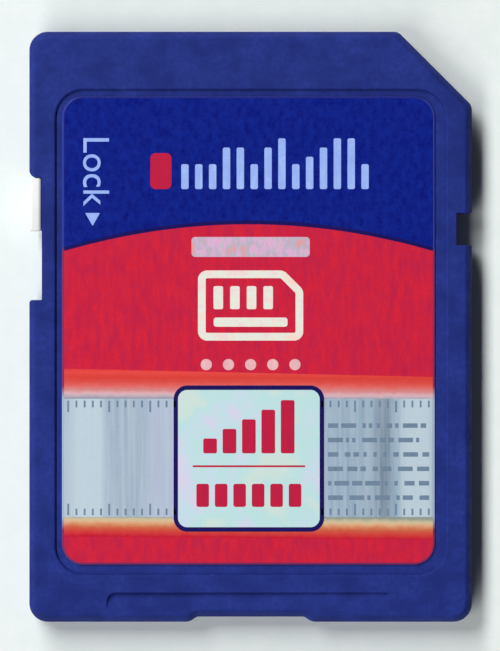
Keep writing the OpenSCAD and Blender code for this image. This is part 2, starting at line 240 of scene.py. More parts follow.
def prism(profile: Sequence[Point], low: float, high: float) -> BMesh:
    """Make a bar along X from its section.

    Args:
        profile: Section in millimetres, as Y and Z.
        low: Where the bar starts along X.
        high: Where it ends.

    Returns:
        A closed mesh.
    """
    mesh = bmesh.new()
    mesh.faces.new([mesh.verts.new((low * MM, y * MM, z * MM)) for y, z in profile])
    thicken(mesh, high - low, (1, 0, 0))
    return mesh


def edges_within(mesh: BMesh, low: Sequence[float], high: Sequence[float]) -> list[BMEdge]:
    """Find the edges of a mesh that lie in a box.

    Args:
        mesh: The mesh.
        low: Lowest corner of the box in millimetres.
        high: Highest corner.

    Returns:
        The edges whose two ends lie in the box.
    """
    spans = [((start - NEAR) * MM, (end + NEAR) * MM) for start, end in zip(low, high)]

    def inside(vert: BMVert) -> bool:
        """Tell whether a vertex lies in the box."""
        return all(start <= value <= end for value, (start, end) in zip(vert.co, spans))

    return [edge for edge in mesh.edges if all(inside(vert) for vert in edge.verts)]


def round_edges(mesh: BMesh, edges: list[BMEdge], radius: float, segments: int) -> None:
    """Round some edges of a solid.

    Args:
        mesh: The solid.
        edges: The edges.
        radius: Radius of the round in millimetres.
        segments: Facets across the round.
    """
    bmesh.ops.bevel(
        mesh,
        geom=edges,
        offset=radius * MM,
        offset_type="OFFSET",
        segments=segments,
        profile=0.5,
        affect="EDGES",
        clamp_overlap=False,
        material=-1,
    )


def round_level(
    mesh: BMesh,
    height: float,
    radius: float,
    segments: int,
    low: Point = (-FAR, -FAR),
    high: Point = (FAR, FAR),
) -> None:
    """Round the edges of a solid that lie at one height.

    Args:
        mesh: The solid.
        height: Height of the edges in millimetres.
        radius: Radius of the round.
        segments: Facets across the round.
        low: Lowest corner in plan of the edges to round.
        high: Highest corner.
    """
    round_edges(mesh, edges_within(mesh, (*low, height), (*high, height)), radius, segments)


def gathered(meshes: Iterable[BMesh]) -> BMesh:
    """Gather several meshes in one, and free them.

    Args:
        meshes: The meshes.

    Returns:
        One mesh that holds them all.
    """
    whole = bmesh.new()
    for mesh in meshes:
        spare = bpy.data.meshes.new("spare")
        mesh.to_mesh(spare)
        mesh.free()
        whole.from_mesh(spare)
        bpy.data.meshes.remove(spare)
    return whole


def lettering(text: str) -> BMesh:
    """Make flat letters, upright at the origin.

    Args:
        text: The word.

    Returns:
        A mesh of flat faces, about a metre high.
    """
    curve = bpy.data.curves.new("lettering", "FONT")
    curve.body = text
    holder = bpy.data.objects.new("lettering", curve)
    bpy.context.scene.collection.objects.link(holder)
    flat = bpy.data.meshes.new_from_object(
        holder.evaluated_get(bpy.context.evaluated_depsgraph_get())
    )
    mesh = bmesh.new()
    mesh.from_mesh(flat)
    bmesh.ops.remove_doubles(mesh, verts=list(mesh.verts), dist=1e-5)
    bpy.data.objects.remove(holder)
    bpy.data.curves.remove(curve)
    bpy.data.meshes.remove(flat)
    return mesh


def fit(mesh: BMesh, low: Point, high: Point, height: float) -> None:
    """Move and stretch a flat mesh so that it fills a rectangle.

    Args:
        mesh: The flat mesh.
        low: Lowest corner of the rectangle in millimetres.
        high: Highest corner.
        height: Height to lay the mesh at.
    """
    xs = [vert.co.x for vert in mesh.verts]
    ys = [vert.co.y for vert in mesh.verts]
    wide = (high[0] - low[0]) * MM / (max(xs) - min(xs))
    tall = (high[1] - low[1]) * MM / (max(ys) - min(ys))
    centre = Matrix.Translation((-(max(xs) + min(xs)) / 2, -(max(ys) + min(ys)) / 2, 0))
    middle = ((low[0] + high[0]) / 2 * MM, (low[1] + high[1]) / 2 * MM, height * MM)
    place = Matrix.Translation(middle) @ Matrix.Diagonal((wide, tall, 1, 1)) @ centre
    bmesh.ops.transform(mesh, matrix=place, verts=list(mesh.verts))


def make_object(name: str, mesh: BMesh) -> Object:
    """Put a mesh in the scene as an object at the origin, and free it.

    Args:
        name: Name of the object.
        mesh: Its mesh.

    Returns:
        The object.
    """
    data = bpy.data.meshes.new(name)
    mesh.to_mesh(data)
    mesh.free()
    made = bpy.data.objects.new(name, data)
    bpy.context.scene.collection.objects.link(made)
    return made


def discard(spare: Object) -> None:
    """Remove a helper object and its mesh.

    Args:
        spare: The helper object.
    """
    data = spare.data
    bpy.data.objects.remove(spare)
    bpy.data.meshes.remove(data)


def combine(base: Object, tools: Iterable[BMesh], how: Cut) -> None:
    """Cut solids away from an object, or join them to it.

    Args:
        base: The object to change.
        tools: Closed solids, each free of overlaps with itself.
        how: Whether the solids are cut away or joined.
    """
    helpers = [make_object(f"tool_{number}", tool) for number, tool in enumerate(tools)]
    for helper in helpers:
        modifier = base.modifiers.new(helper.name, "BOOLEAN")
        modifier.operation = how.value
        modifier.solver = "EXACT"
        modifier.object = helper
    depsgraph = bpy.context.evaluated_depsgraph_get()
    result = bpy.data.meshes.new_from_object(base.evaluated_get(depsgraph))
    old = base.data
    base.modifiers.clear()
    base.data = result
    bpy.data.meshes.remove(old)
    for helper in helpers:
        discard(helper)


def carve(mesh: BMesh, tools: Iterable[BMesh]) -> BMesh:
    """Cut solids away from a mesh.

    Args:
        mesh: Closed solid, freed here.
        tools: Closed solids to cut away.

    Returns:
        What is left of the mesh.
    """
    base = make_object("carved", mesh)
    combine(base, tools, Cut.AWAY)
    left = bmesh.new()
    left.from_mesh(base.data)
    discard(base)
    return left


def break_edges(piece: Object, width: float, limit: float = 32) -> None:
    """Break a moulding's sharp edges with a fine round, and shade its flats as flat.

    Args:
        piece: The moulding.
        width: Width of the round in millimetres.
        limit: Smallest angle of an edge that is broken, in degrees.
    """
    piece.data.shade_smooth()
    rounds = piece.modifiers.new("broken_edges", "BEVEL")
    rounds.limit_method = "ANGLE"
    rounds.angle_limit = math.radians(limit)
    rounds.width = width * MM
    rounds.segments = 2
    rounds.use_clamp_overlap = False
    flats = piece.modifiers.new("flat_shading", "WEIGHTED_NORMAL")
    flats.weight = 100


def dress(piece: Object, finish: Material) -> None:
    """Give every material slot of a piece one finish.

    Args:
        piece: The piece.
        finish: The finish.
    """
    if not piece.material_slots:
        piece.data.materials.append(finish)
    for slot in piece.material_slots:
        slot.material = finish


def enrol(piece: Object, body: Body, slot: Slot, *nodes: str) -> Object:
    """Tell the frame about a finished piece.

    Args:
        piece: The piece.
        body: Body that it rides on.
        slot: Not used.
        nodes: CAD nodes that it stands for.

    Returns:
        The piece.
    """
    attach(piece, body.value)
    if nodes:
        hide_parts(*nodes)
    LOG.info("%s: %d faces, on %s", piece.name, len(piece.data.polygons), body.value)
    return piece


# Finishes


class Graph:
    """Node tree of one finish, with short calls for the nodes that the finishes share."""

    def __init__(self, name: str) -> None:
        """Start a tree that holds a surface shader and object coordinates.

        Args:
            name: Name of the material.
        """
        self.material = bpy.data.materials.new(name)
        self.material.use_nodes = True
        self.nodes = self.material.node_tree.nodes
        self.nodes.clear()
        self.surface = self.add("ShaderNodeBsdfPrincipled")
        output = self.add("ShaderNodeOutputMaterial")
        self.join(self.surface.outputs["BSDF"], output.inputs["Surface"])
        self.place = self.add("ShaderNodeTexCoord").outputs["Object"]

    def add(self, kind: str, **settings: str) -> Node:
        """Add a node and set its properties.

        Args:
            kind: Type of the node.
            settings: Properties by name.

        Returns:
            The node.
        """
        made = self.nodes.new(kind)
        for key, value in settings.items():
            setattr(made, key, value)
        return made

    def join(self, source: NodeSocket, target: NodeSocket) -> None:
        """Link two sockets."""
        self.material.node_tree.links.new(source, target)

    def set(self, **values: float) -> None:
        """Set inputs of the surface shader, named with underscores for spaces."""
        for key, value in values.items():
            self.surface.inputs[key.replace("_", " ")].default_value = value

    def feed(self, **sources: NodeSocket) -> None:
        """Link sockets to inputs of the surface shader, named with underscores for spaces."""
        for key, source in sources.items():
            self.join(source, self.surface.inputs[key.replace("_", " ")])

    def mapped(self, stretch: Sequence[float], turn: float = 0.0) -> NodeSocket:
        """Stretch object coordinates along each axis and turn them about Z.

        Args:
            stretch: Factor on the pattern's fineness along each axis.
            turn: Turn in degrees.

        Returns:
            The vector socket.
        """
        mapping = self.add("ShaderNodeMapping")
        mapping.inputs["Scale"].default_value = stretch
        mapping.inputs["Rotation"].default_value = (0, 0, math.radians(turn))
        self.join(self.place, mapping.inputs["Vector"])
        return mapping.outputs["Vector"]

    def noise(
        self, size: float, stretch: Sequence[float] = (1, 1, 1), detail: float = 3
    ) -> NodeSocket:
        """Add noise whose blotches have about the given size.

        Args:
            size: Size of the blotches in millimetres.
            stretch: Factor on the pattern's fineness along each axis.
            detail: Octaves of finer noise.

        Returns:
            The factor socket.
        """
        made = self.add("ShaderNodeTexNoise")
        made.inputs["Scale"].default_value = 1 / (size * MM)
        made.inputs["Detail"].default_value = detail
        made.inputs["Roughness"].default_value = 0.6
        self.join(self.mapped(stretch), made.inputs["Vector"])
        return made.outputs["Fac"]

    def along(self, axis: str) -> NodeSocket:
        """Give one of the object coordinates.

        Args:
            axis: X, Y or Z.

        Returns:
            The socket of the coordinate, in metres.
        """
        split = self.add("ShaderNodeSeparateXYZ")
        self.join(self.place, split.inputs["Vector"])
        return split.outputs[axis]

    def spread(
        self, source: NodeSocket, low: float, high: float, span: Point = (0.35, 0.65)
    ) -> NodeSocket:
        """Map a span of a value to the range from low to high, and hold it there outside.

        Args:
            source: The value.
            low: Result at the start of the span.
            high: Result at its end.
            span: Start and end of the span.

        Returns:
            The mapped value.
        """
        made = self.add("ShaderNodeMapRange")
        made.inputs["From Min"].default_value = span[0]
        made.inputs["From Max"].default_value = span[1]
        made.inputs["To Min"].default_value = low
        made.inputs["To Max"].default_value = high
        self.join(source, made.inputs["Value"])
        return made.outputs["Result"]

    def blend(
        self, factor: NodeSocket, first: NodeSocket | Tint, second: NodeSocket | Tint
    ) -> NodeSocket:
        """Mix two colours.

        Args:
            factor: Share of the second colour.
            first: Colour at 0, a socket or a plain colour.
            second: Colour at 1.

        Returns:
            The mixed colour.
        """
        made = self.add("ShaderNodeMix", data_type="RGBA")
        self.join(factor, made.inputs["Factor"])
        for value, target in ((first, made.inputs[6]), (second, made.inputs[7])):
            if isinstance(value, NodeSocket):
                self.join(value, target)
            else:
                target.default_value = value
        return made.outputs[2]

    def fade(self, place: NodeSocket, stops: Stops) -> NodeSocket:
        """Fade from colour to colour along the object.

        Args:
            place: Place along the fade, in metres.
            stops: Place in millimetres and colour of each stop.

        Returns:
            The colour.
        """
        start, end = stops[0][0], stops[-1][0]
        share = self.spread(place, 0, 1, (start * MM, end * MM))
        return self.ramp(share, [((at - start) / (end - start), colour) for at, colour in stops])

    def ramp(self, factor: NodeSocket, stops: Sequence[Stop]) -> NodeSocket:
        """Add a colour ramp.

        Args:
            factor: Place on the ramp.
            stops: Place from 0 to 1 and colour of each stop.

        Returns:
            The colour.
        """
        made = self.add("ShaderNodeValToRGB")
        elements = made.color_ramp.elements
        while len(elements) < len(stops):
            elements.new(0.5)
        for element, (position, colour) in zip(elements, stops):
            element.position = position
            element.color = colour
        self.join(factor, made.inputs["Fac"])
        return made.outputs["Color"]

    def bump(self, height: NodeSocket, depth: float) -> NodeSocket:
        """Add a bump.

        Args:
            height: Height, as a share of the depth.
            depth: Depth of the bump in millimetres.

        Returns:
            The normal socket.
        """
        made = self.add("ShaderNodeBump")
        made.inputs["Distance"].default_value = depth * MM
        self.join(height, made.inputs["Height"])
        return made.outputs["Normal"]


@dataclass(frozen=True)
class MouldedPlastic:
    """Spark-textured moulded plastic with a faint mottle and fine handling marks."""

    name: str
    base: Tint
    mottle: Tint
    roughness: float = 0.5
    specular: float = 0.2
    grain: float = 0.09
    grain_depth: float = 0.006
    cloud: float = 1.4
    speck: float = 0.26
    scuff: float = 0.5

    def build(self) -> Material:
        """Make the material.

        Returns:
            The material.
        """
        graph = Graph(self.name)
        graph.set(Specular_IOR_Level=self.specular)
        drift = graph.spread(graph.noise(self.cloud, detail=4), 0, 1)
        clouds = graph.blend(drift, self.base, self.mottle)
        specks = graph.spread(graph.noise(self.speck, detail=2), 0, 0.6)
        scuffs = graph.noise(self.scuff, stretch=(0.12, 1.6, 1), detail=6)
        graph.feed(
            Base_Color=graph.blend(specks, clouds, self.mottle),
            Roughness=graph.spread(scuffs, self.roughness - 0.07, self.roughness + 0.1),
            Normal=graph.bump(graph.noise(self.grain, detail=2), self.grain_depth),
        )
        return graph.material


@dataclass(frozen=True)
class PrintedFilm:
    """Printed and laminated film: a drifting ink, fine grain and a soft gloss."""

    name: str
    base: Tint
    streak: Tint
    stretch: float = 0.25
    roughness: float = 0.24
    specular: float = 0.2
    length: float = 0.34
    grain: float = 0.14
    grain_depth: float = 0.001
    cloud: float = 1.4

    def build(self) -> Material:
        """Make the material.

        Returns:
            The material.
        """
        graph = Graph(self.name)
        graph.set(Specular_IOR_Level=self.specular)
        drift = graph.noise(self.length, stretch=(1, self.stretch, 1), detail=4)
        streaks = graph.spread(drift, 0, 1)
        grain = graph.noise(self.grain, detail=2)
        clouds = graph.noise(self.cloud)
        tone = graph.blend(streaks, self.base, self.streak)
        graph.feed(
            Base_Color=graph.blend(graph.spread(grain, 0, 0.5), tone, self.streak),
            Roughness=graph.spread(clouds, self.roughness - 0.03, self.roughness + 0.04),
            Normal=graph.bump(grain, self.grain_depth),
        )
        return graph.material


@dataclass(frozen=True)
class FadedInk:
    """Inks that fade into each other along the card, with a slightly uneven fade."""

    name: str
    stops: Stops
    wander: float = 0.04
    tilt: float = 0.0
    roughness: float = 0.24
    specular: float = 0.2
    wave: float = 0.5
    cloud: float = 0.3
    grain: float = 0.14
    grain_depth: float = 0.001

    def build(self) -> Material:
        """Make the material, whose stops are places along Y.

        Returns:
            The material.
        """
        graph = Graph(self.name)
        graph.set(Specular_IOR_Level=self.specular)
        drift = graph.spread(graph.noise(self.wave), -self.wander * MM, self.wander * MM)
        leaning = graph.add("ShaderNodeMath", operation="MULTIPLY_ADD")
        graph.join(graph.along("X"), leaning.inputs[0])
        leaning.inputs[1].default_value = self.tilt
        graph.join(drift, leaning.inputs[2])
        moved = graph.add("ShaderNodeMath", operation="ADD")
        graph.join(graph.along("Y"), moved.inputs[0])
        graph.join(leaning.outputs["Value"], moved.inputs[1])
        clouds = graph.noise(self.cloud)
        graph.feed(
            Base_Color=graph.fade(moved.outputs["Value"], self.stops),
            Roughness=graph.spread(clouds, self.roughness - 0.04, self.roughness + 0.05),
            Normal=graph.bump(graph.noise(self.grain, detail=2), self.grain_depth),
        )
        return graph.material


@dataclass(frozen=True)
class SilverInk:
    """Silvery ink in broad upright panels, with fine pale streaks that are partly the foil's grain
    and partly painted sheen.
    """

    name: str
    panels: Stops
    streak: Tint
    length: float = 0.22
    grain: float = 0.1

    def build(self) -> Material:
        """Make the material, whose panels are places along X.

        Returns:
            The material.
        """
        graph = Graph(self.name)
        graph.set(Metallic=0.1, Specular_IOR_Level=0.3)
        broad = graph.fade(graph.along("X"), self.panels)
        # Pale streaks mixed over the panels: the foil's fine grain, with painted sheen in them
        drift = graph.noise(self.length, stretch=(1, 0.03, 1), detail=4)
        streaks = graph.spread(drift, 0, 0.4)
        graph.feed(
            Base_Color=graph.blend(streaks, broad, self.streak),
            Roughness=graph.spread(graph.noise(self.grain, detail=2), 0.36, 0.5),
        )
        return graph.material


@dataclass(frozen=True)
class PearlInk:
    """Pearly ink that drifts between pale tints."""

    name: str
    tints: tuple[Tint, ...]
    cloud: float
    stretch: tuple[float, float, float] = (1, 1, 1)
    grain: float = 0.12
    span: Point = (0.34, 0.66)

    def build(self) -> Material:
        """Make the material.

        Returns:
            The material.
        """
        graph = Graph(self.name)
        graph.set(Specular_IOR_Level=0.3)
        start, end = self.span
        step = (end - start) / (len(self.tints) - 1)
        stops = [(start + step * index, colour) for index, colour in enumerate(self.tints)]
        clouds = graph.noise(self.cloud, self.stretch)
        graph.feed(
            Base_Color=graph.ramp(clouds, stops),
            Roughness=graph.spread(graph.noise(self.grain), 0.34, 0.44),
        )
        return graph.material


@dataclass(frozen=True)
class PlatedMetal:
    """Plated metal, with wiping marks that run along Y."""

    name: str
    base: Tint
    worn: Tint
    roughness: float
    wipe: float = 0.09
    wipe_depth: float = 0.003
    cloud: float = 0.8

    def build(self) -> Material:
        """Make the material.

        Returns:
            The material.
        """
        graph = Graph(self.name)
        graph.set(Metallic=1.0)
        wipes = graph.noise(self.wipe, stretch=(1, 0.03, 1), detail=4)
        tone = graph.blend(graph.spread(wipes, 0, 0.7), self.base, self.worn)
        clouds = graph.spread(graph.noise(self.cloud), 0, 0.4)
        graph.feed(
            Base_Color=graph.blend(clouds, tone, self.worn),
            Roughness=graph.spread(wipes, self.roughness, self.roughness + 0.18),
            Normal=graph.bump(wipes, self.wipe_depth),
        )
        return graph.material


@dataclass(frozen=True)
class SolderMask:
    """Green lacquer over copper tracks that run along the board."""

    name: str
    base: Tint
    track: Tint
    pitch: float = 0.9
    wave_scale: float = 3.14
    slant: float = 12.0
    cloud: float = 0.6
    grain: float = 0.3
    relief: float = 0.02

    def build(self) -> Material:
        """Make the material.

        Returns:
            The material.
        """
        graph = Graph(self.name)
        graph.set(Coat_Weight=0.3, Coat_Roughness=0.2)
        tracks = graph.add("ShaderNodeTexWave", wave_type="BANDS", bands_direction="X")
        tracks.inputs["Scale"].default_value = 1 / (self.pitch * MM) / self.wave_scale
        tracks.inputs["Distortion"].default_value = 0.0
        graph.join(graph.mapped((1, 1, 1), self.slant), tracks.inputs["Vector"])
        shown = graph.spread(tracks.outputs["Fac"], 0, 1, (0.45, 0.55))
        colour = graph.blend(shown, self.base, self.track)
        mottle = graph.spread(graph.noise(self.cloud), 0, 0.3)
        graph.feed(
            Base_Color=graph.blend(mottle, colour, self.base),
            Roughness=graph.spread(graph.noise(self.grain), 0.26, 0.36),
            Normal=graph.bump(shown, self.relief),
        )
        return graph.material


class Palette:
    """Every finish of the card and its floor, by name."""

    def __init__(self) -> None:
        """Build the finishes."""
        steel, cloud, lilac = tint(162, 182, 202), tint(192, 212, 224), tint(180, 192, 216)
        # streak is the pale tint of the silver band's streaks, partly painted sheen on the foil
        slate, ash, streak = tint(146, 172, 194), tint(100, 124, 146), tint(206, 218, 228)
        panels = (
            (-10.2, steel), (-9.4, cloud), (-8.15, cloud), (-7.75, steel), (-5.9, steel),
            (-5.2, lilac), (-3.9, lilac), (4.9, slate), (6.5, slate), (7.2, ash), (7.8, slate),
            (8.4, cloud), (9.6, cloud), (10.0, slate),
        )
        cream = (tint(250, 220, 206), tint(232, 238, 226), tint(246, 216, 214))
        foil = (tint(236, 158, 160), tint(186, 182, 200), tint(232, 176, 214), tint(170, 196, 188))
        pearl = (tint(220, 214, 238), tint(200, 224, 234), tint(190, 228, 228), tint(208, 228, 222))
        case = (tint(41, 57, 143), tint(30, 44, 118))
        white = (tint(249, 248, 245), tint(240, 240, 240))
        resin, glaze = (tint(30, 31, 34), tint(42, 43, 46)), (tint(30, 31, 36), tint(50, 52, 56))
        clay = (tint(168, 128, 86), tint(148, 110, 72))
        floor = (tint(241, 247, 245), tint(235, 243, 241))
        gold = (tint(236, 190, 106), tint(214, 160, 84))
        tin = (tint(208, 210, 214), tint(170, 174, 180))
        finishes = (
            MouldedPlastic("case_blue", *case, roughness=0.56, specular=0.08),
            MouldedPlastic(
                "slider_white", *white, roughness=0.42, specular=0.3, grain=0.12, grain_depth=0.003
            ),
            MouldedPlastic(
                "moulded_resin", *resin, roughness=0.55, specular=0.4, grain=0.05, grain_depth=0.004
            ),
            MouldedPlastic(
                "fired_ceramic", *clay, roughness=0.5, specular=0.4, grain=0.08, grain_depth=0.003
            ),
            MouldedPlastic(
                "glazed_ceramic",
                *glaze,
                roughness=0.32,
                specular=0.5,
                grain=0.08,
                grain_depth=0.002,
            ),
            MouldedPlastic(
                "pale_floor", *floor, roughness=0.85, specular=0.1, grain=1.5, grain_depth=0.001
            ),
            PlatedMetal("plated_gold", *gold, roughness=0.24),
            PlatedMetal("plated_tin", *tin, roughness=0.32),
            SolderMask("board_green", tint(18, 96, 58), tint(36, 132, 78)),
            PrintedFilm("ink_blue", tint(8, 18, 114), tint(17, 38, 142), stretch=0.6),
            PrintedFilm("ink_navy", tint(34, 22, 92), tint(26, 20, 92)),
            PrintedFilm("ink_red", tint(222, 38, 58), tint(194, 34, 70)),
            PrintedFilm("ink_crimson", tint(206, 30, 66), tint(186, 34, 70)),
            PrintedFilm("ink_sky", tint(168, 196, 252), tint(150, 176, 244)),
            PrintedFilm("ink_slate", tint(104, 134, 152), tint(120, 138, 164)),
            PrintedFilm("ink_blush", tint(244, 196, 196), tint(228, 176, 184)),
            SilverInk("ink_silver", panels, streak),
            PearlInk("ink_cream", cream, cloud=0.9),
            PearlInk("ink_foil", foil, cloud=0.5, stretch=(1, 0.4, 1)),
            PearlInk("ink_pearl", pearl, cloud=2.6),
        )
        self.made = {finish.name: finish.build() for finish in finishes}

    def __getitem__(self, name: str) -> Material:
        """Give the finish of a name."""
        return self.made[name]


# Case


@dataclass
class Outline:
    """The card's outline: three plain corners, one cut corner and a dip in the rear edge."""

    width: float
    length: float
    corner_radius: float = 1.0
    corner_cut: float = 4.0
    cut_radius: float = 0.5
    dip_width: float = 5.8
    dip_depth: float = 0.28
    dip_slope: float = 0.42
    dip_lip: float = 0.6
    dip_foot: float = 0.3
    inner_radius: float = 0.4
    inner_cut_radius: float = 0.3

    @property
    def right(self) -> float:
        """Place of the right side."""
        return self.width / 2

    @property
    def lead(self) -> float:
        """Place of the leading edge."""
        return self.length / 2

    def solid(self, low: float, high: float) -> BMesh:
        """Make the solid of the outline between two heights.

        Args:
            low: Height of the underside.
            high: Height of the top.

        Returns:
            A closed mesh.
        """
        x, y, cut = self.right, self.lead, self.corner_cut
        half, foot = self.dip_width / 2, -self.lead + self.dip_depth
        corners = [
            (-x, -y), (-half - self.dip_slope, -y), (-half, foot), (half, foot),
            (half + self.dip_slope, -y), (x, -y), (x, y - cut), (x - cut, y), (-x, y),
        ]
        plain, eased, lip, floor = self.corner_radius, self.cut_radius, self.dip_lip, self.dip_foot
        radii = [plain, lip, floor, floor, lip, plain, eased, eased, plain]
        return plate(corners, radii, low, high)

    def inset(self, wall: float, rear_wall: float, low: float, high: float) -> BMesh:
        """Make the solid of the outline moved in by its walls, without the dip.

        Args:
            wall: Wall at the sides and the leading edge.
            rear_wall: Wall at the rear.
            low: Height of the underside.
            high: Height of the top.

        Returns:
            A closed mesh.
        """
        x, y = self.right - wall, self.lead - wall
        rear = -self.lead + rear_wall
        reach = self.right + self.lead - self.corner_cut - wall * math.sqrt(2)
        corners = [(-x, rear), (x, rear), (x, reach - x), (reach - y, y), (-x, y)]
        plain, eased = self.inner_radius, self.inner_cut_radius
        return plate(corners, [plain, plain, eased, eased, plain], low, high)


@dataclass
class Notches:
    """The lock notch in the left side and the key notch in the right side."""

    outline: Outline
    lock_start: float = 7.92
    lock_length: float = 6.63
    lock_depth: float = 0.7
    lock_flares: Point = (0.16, 0.42)
    key_start: float = 9.85
    key_length: float = 1.73
    key_depth: float = 0.86
    key_flares: Point = (0.1, 0.1)
    floor_radius: float = 0.05

    @property
    def lock_span(self) -> Point:
        """Lowest and highest place of the lock notch along the card."""
        high = self.outline.lead - self.lock_start
        return high - self.lock_length, high

    @property
    def key_span(self) -> Point:
        """Lowest and highest place of the key notch along the card."""
        high = self.outline.lead - self.key_start
        return high - self.key_length, high

    @property
    def lock_wall(self) -> float:
        """Place of the lock notch's inner wall."""
        return -self.outline.right + self.lock_depth

    @property
    def key_wall(self) -> float:
        """Place of the key notch's inner wall."""
        return self.outline.right - self.key_depth

    def flared(self, side: int, span: Point, depth: float, flares: Point) -> BMesh:
        """Make the cutter of one notch, whose mouth opens in two rounds.

        Args:
            side: -1 for the left side, 1 for the right side.
            span: Lowest and highest place along the card.
            depth: Depth of the notch.
            flares: Radius at the lower and the upper lip.

        Returns:
            A closed solid that runs through the card.
        """
        edge, floor = self.outline.right, self.outline.right - depth
        out = edge + PAST
        low, high = span
        corners = [
            (floor, low), (edge, low), (edge, low - PAST), (out, low - PAST),
            (out, high + PAST), (edge, high + PAST), (edge, high), (floor, high),
        ]
        radii = [self.floor_radius, flares[0], 0, 0, 0, 0, flares[1], self.floor_radius]
        return plate([(side * x, y) for x, y in corners], radii, -PAST, 3 * PAST)

    def cutters(self) -> list[BMesh]:
        """Make the cutters of both notches.

        Returns:
            Closed solids that run through the card.
        """
        return [
            self.flared(-1, self.lock_span, self.lock_depth, self.lock_flares),
            self.flared(1, self.key_span, self.key_depth, self.key_flares),
        ]


@dataclass
class Interior:
    """The pocket that holds the board, the slider's channel and the covers' welded tongue."""

    outline: Outline
    notches: Notches
    parting: float = 1.4
    wall: float = 0.8
    rear_wall: float = 1.95
    ceiling: float = 1.72
    slot_wall: float = 0.3
    channel_width: float = 0.56
    pier: float = 0.3
    key_pier: float = 0.6
    slot_ends: float = 0.625
    slot_height: float = 0.3
    slot_overlap: float = 0.2
    channel_ends: float = 0.325
    channel_height: float = 0.64
    tongue_width: float = 0.3
    tongue_height: float = 0.2
    tongue_end: float = 2.4
    tongue_gap: float = 1.0
    tongue_clearance: float = 0.03

    def pocket(self, low: float, high: float, margin: float = 0.0) -> BMesh:
        """Make the cutter of the board's pocket, which keeps clear of both notches.

        Args:
            low: Height of the pocket's floor.
            high: Height of its ceiling.
            margin: How far the walls and piers around it stand further in.

        Returns:
            A closed mesh.
        """
        room = self.outline.inset(self.wall + margin, self.rear_wall + margin, low, high)
        edge = self.outline.right + PAST
        lock_low, lock_high = self.notches.lock_span
        key_low, key_high = self.notches.key_span
        lock_end, key_end = self.pier + margin, self.key_pier + margin
        lock_reach = self.notches.lock_wall + self.slot_wall + self.channel_width + lock_end
        key_reach = self.notches.key_wall - key_end
        low, high = low - PAST, high + PAST
        piers = [
            block((-edge, lock_low - lock_end, low), (lock_reach, lock_high + lock_end, high)),
            block((key_reach, key_low - key_end, low), (edge, key_high + key_end, high)),
        ]
        return carve(room, piers)

    def slider_way(self) -> list[BMesh]:
        """Make the cutters of the slot for the slider's neck and the channel for its foot.

        Returns:
            Closed meshes.
        """
        wall = self.notches.lock_wall
        low, high = self.notches.lock_span
        start = wall + self.slot_wall
        slot, channel = self.slot_height / 2, self.channel_height / 2
        return [
            block(
                (wall - self.slot_overlap, low + self.slot_ends, self.parting - slot),
                (start + self.slot_overlap, high - self.slot_ends, self.parting + slot),
            ),
            block(
                (start, low + self.channel_ends, self.parting - channel),
                (start + self.channel_width, high - self.channel_ends, self.parting + channel),
            ),
        ]

    def tongue_runs(self, clearance: float, low: float, high: float) -> list[BMesh]:
        """Make the straight runs of the tongue around the case.

        Args:
            clearance: How far each run is grown on all sides in plan.
            low: Height of the underside.
            high: Height of the top.

        Returns:
            Closed meshes.
        """
        half = self.tongue_width / 2 + clearance
        x, lead = self.outline.right - self.wall / 2, self.outline.lead
        gap = self.tongue_gap
        corner = self.outline.corner_radius + gap
        lock_low, lock_high = self.notches.lock_span
        key_low, key_high = self.notches.key_span
        runs = [
            (-x, -lead + corner, lock_low - gap), (-x, lock_high + gap, lead - corner),
            (x, -lead + corner, key_low - gap),
            (x, key_high + gap, lead - self.outline.corner_cut - gap),
        ]
        solids = [
            block((place - half, start - clearance, low), (place + half, end + clearance, high))
            for place, start, end in runs
        ]
        rear = -lead + self.rear_wall - self.wall / 2
        reach = self.outline.right - self.tongue_end + clearance
        solids.append(block((-reach, rear - half, low), (reach, rear + half, high)))
        return solids


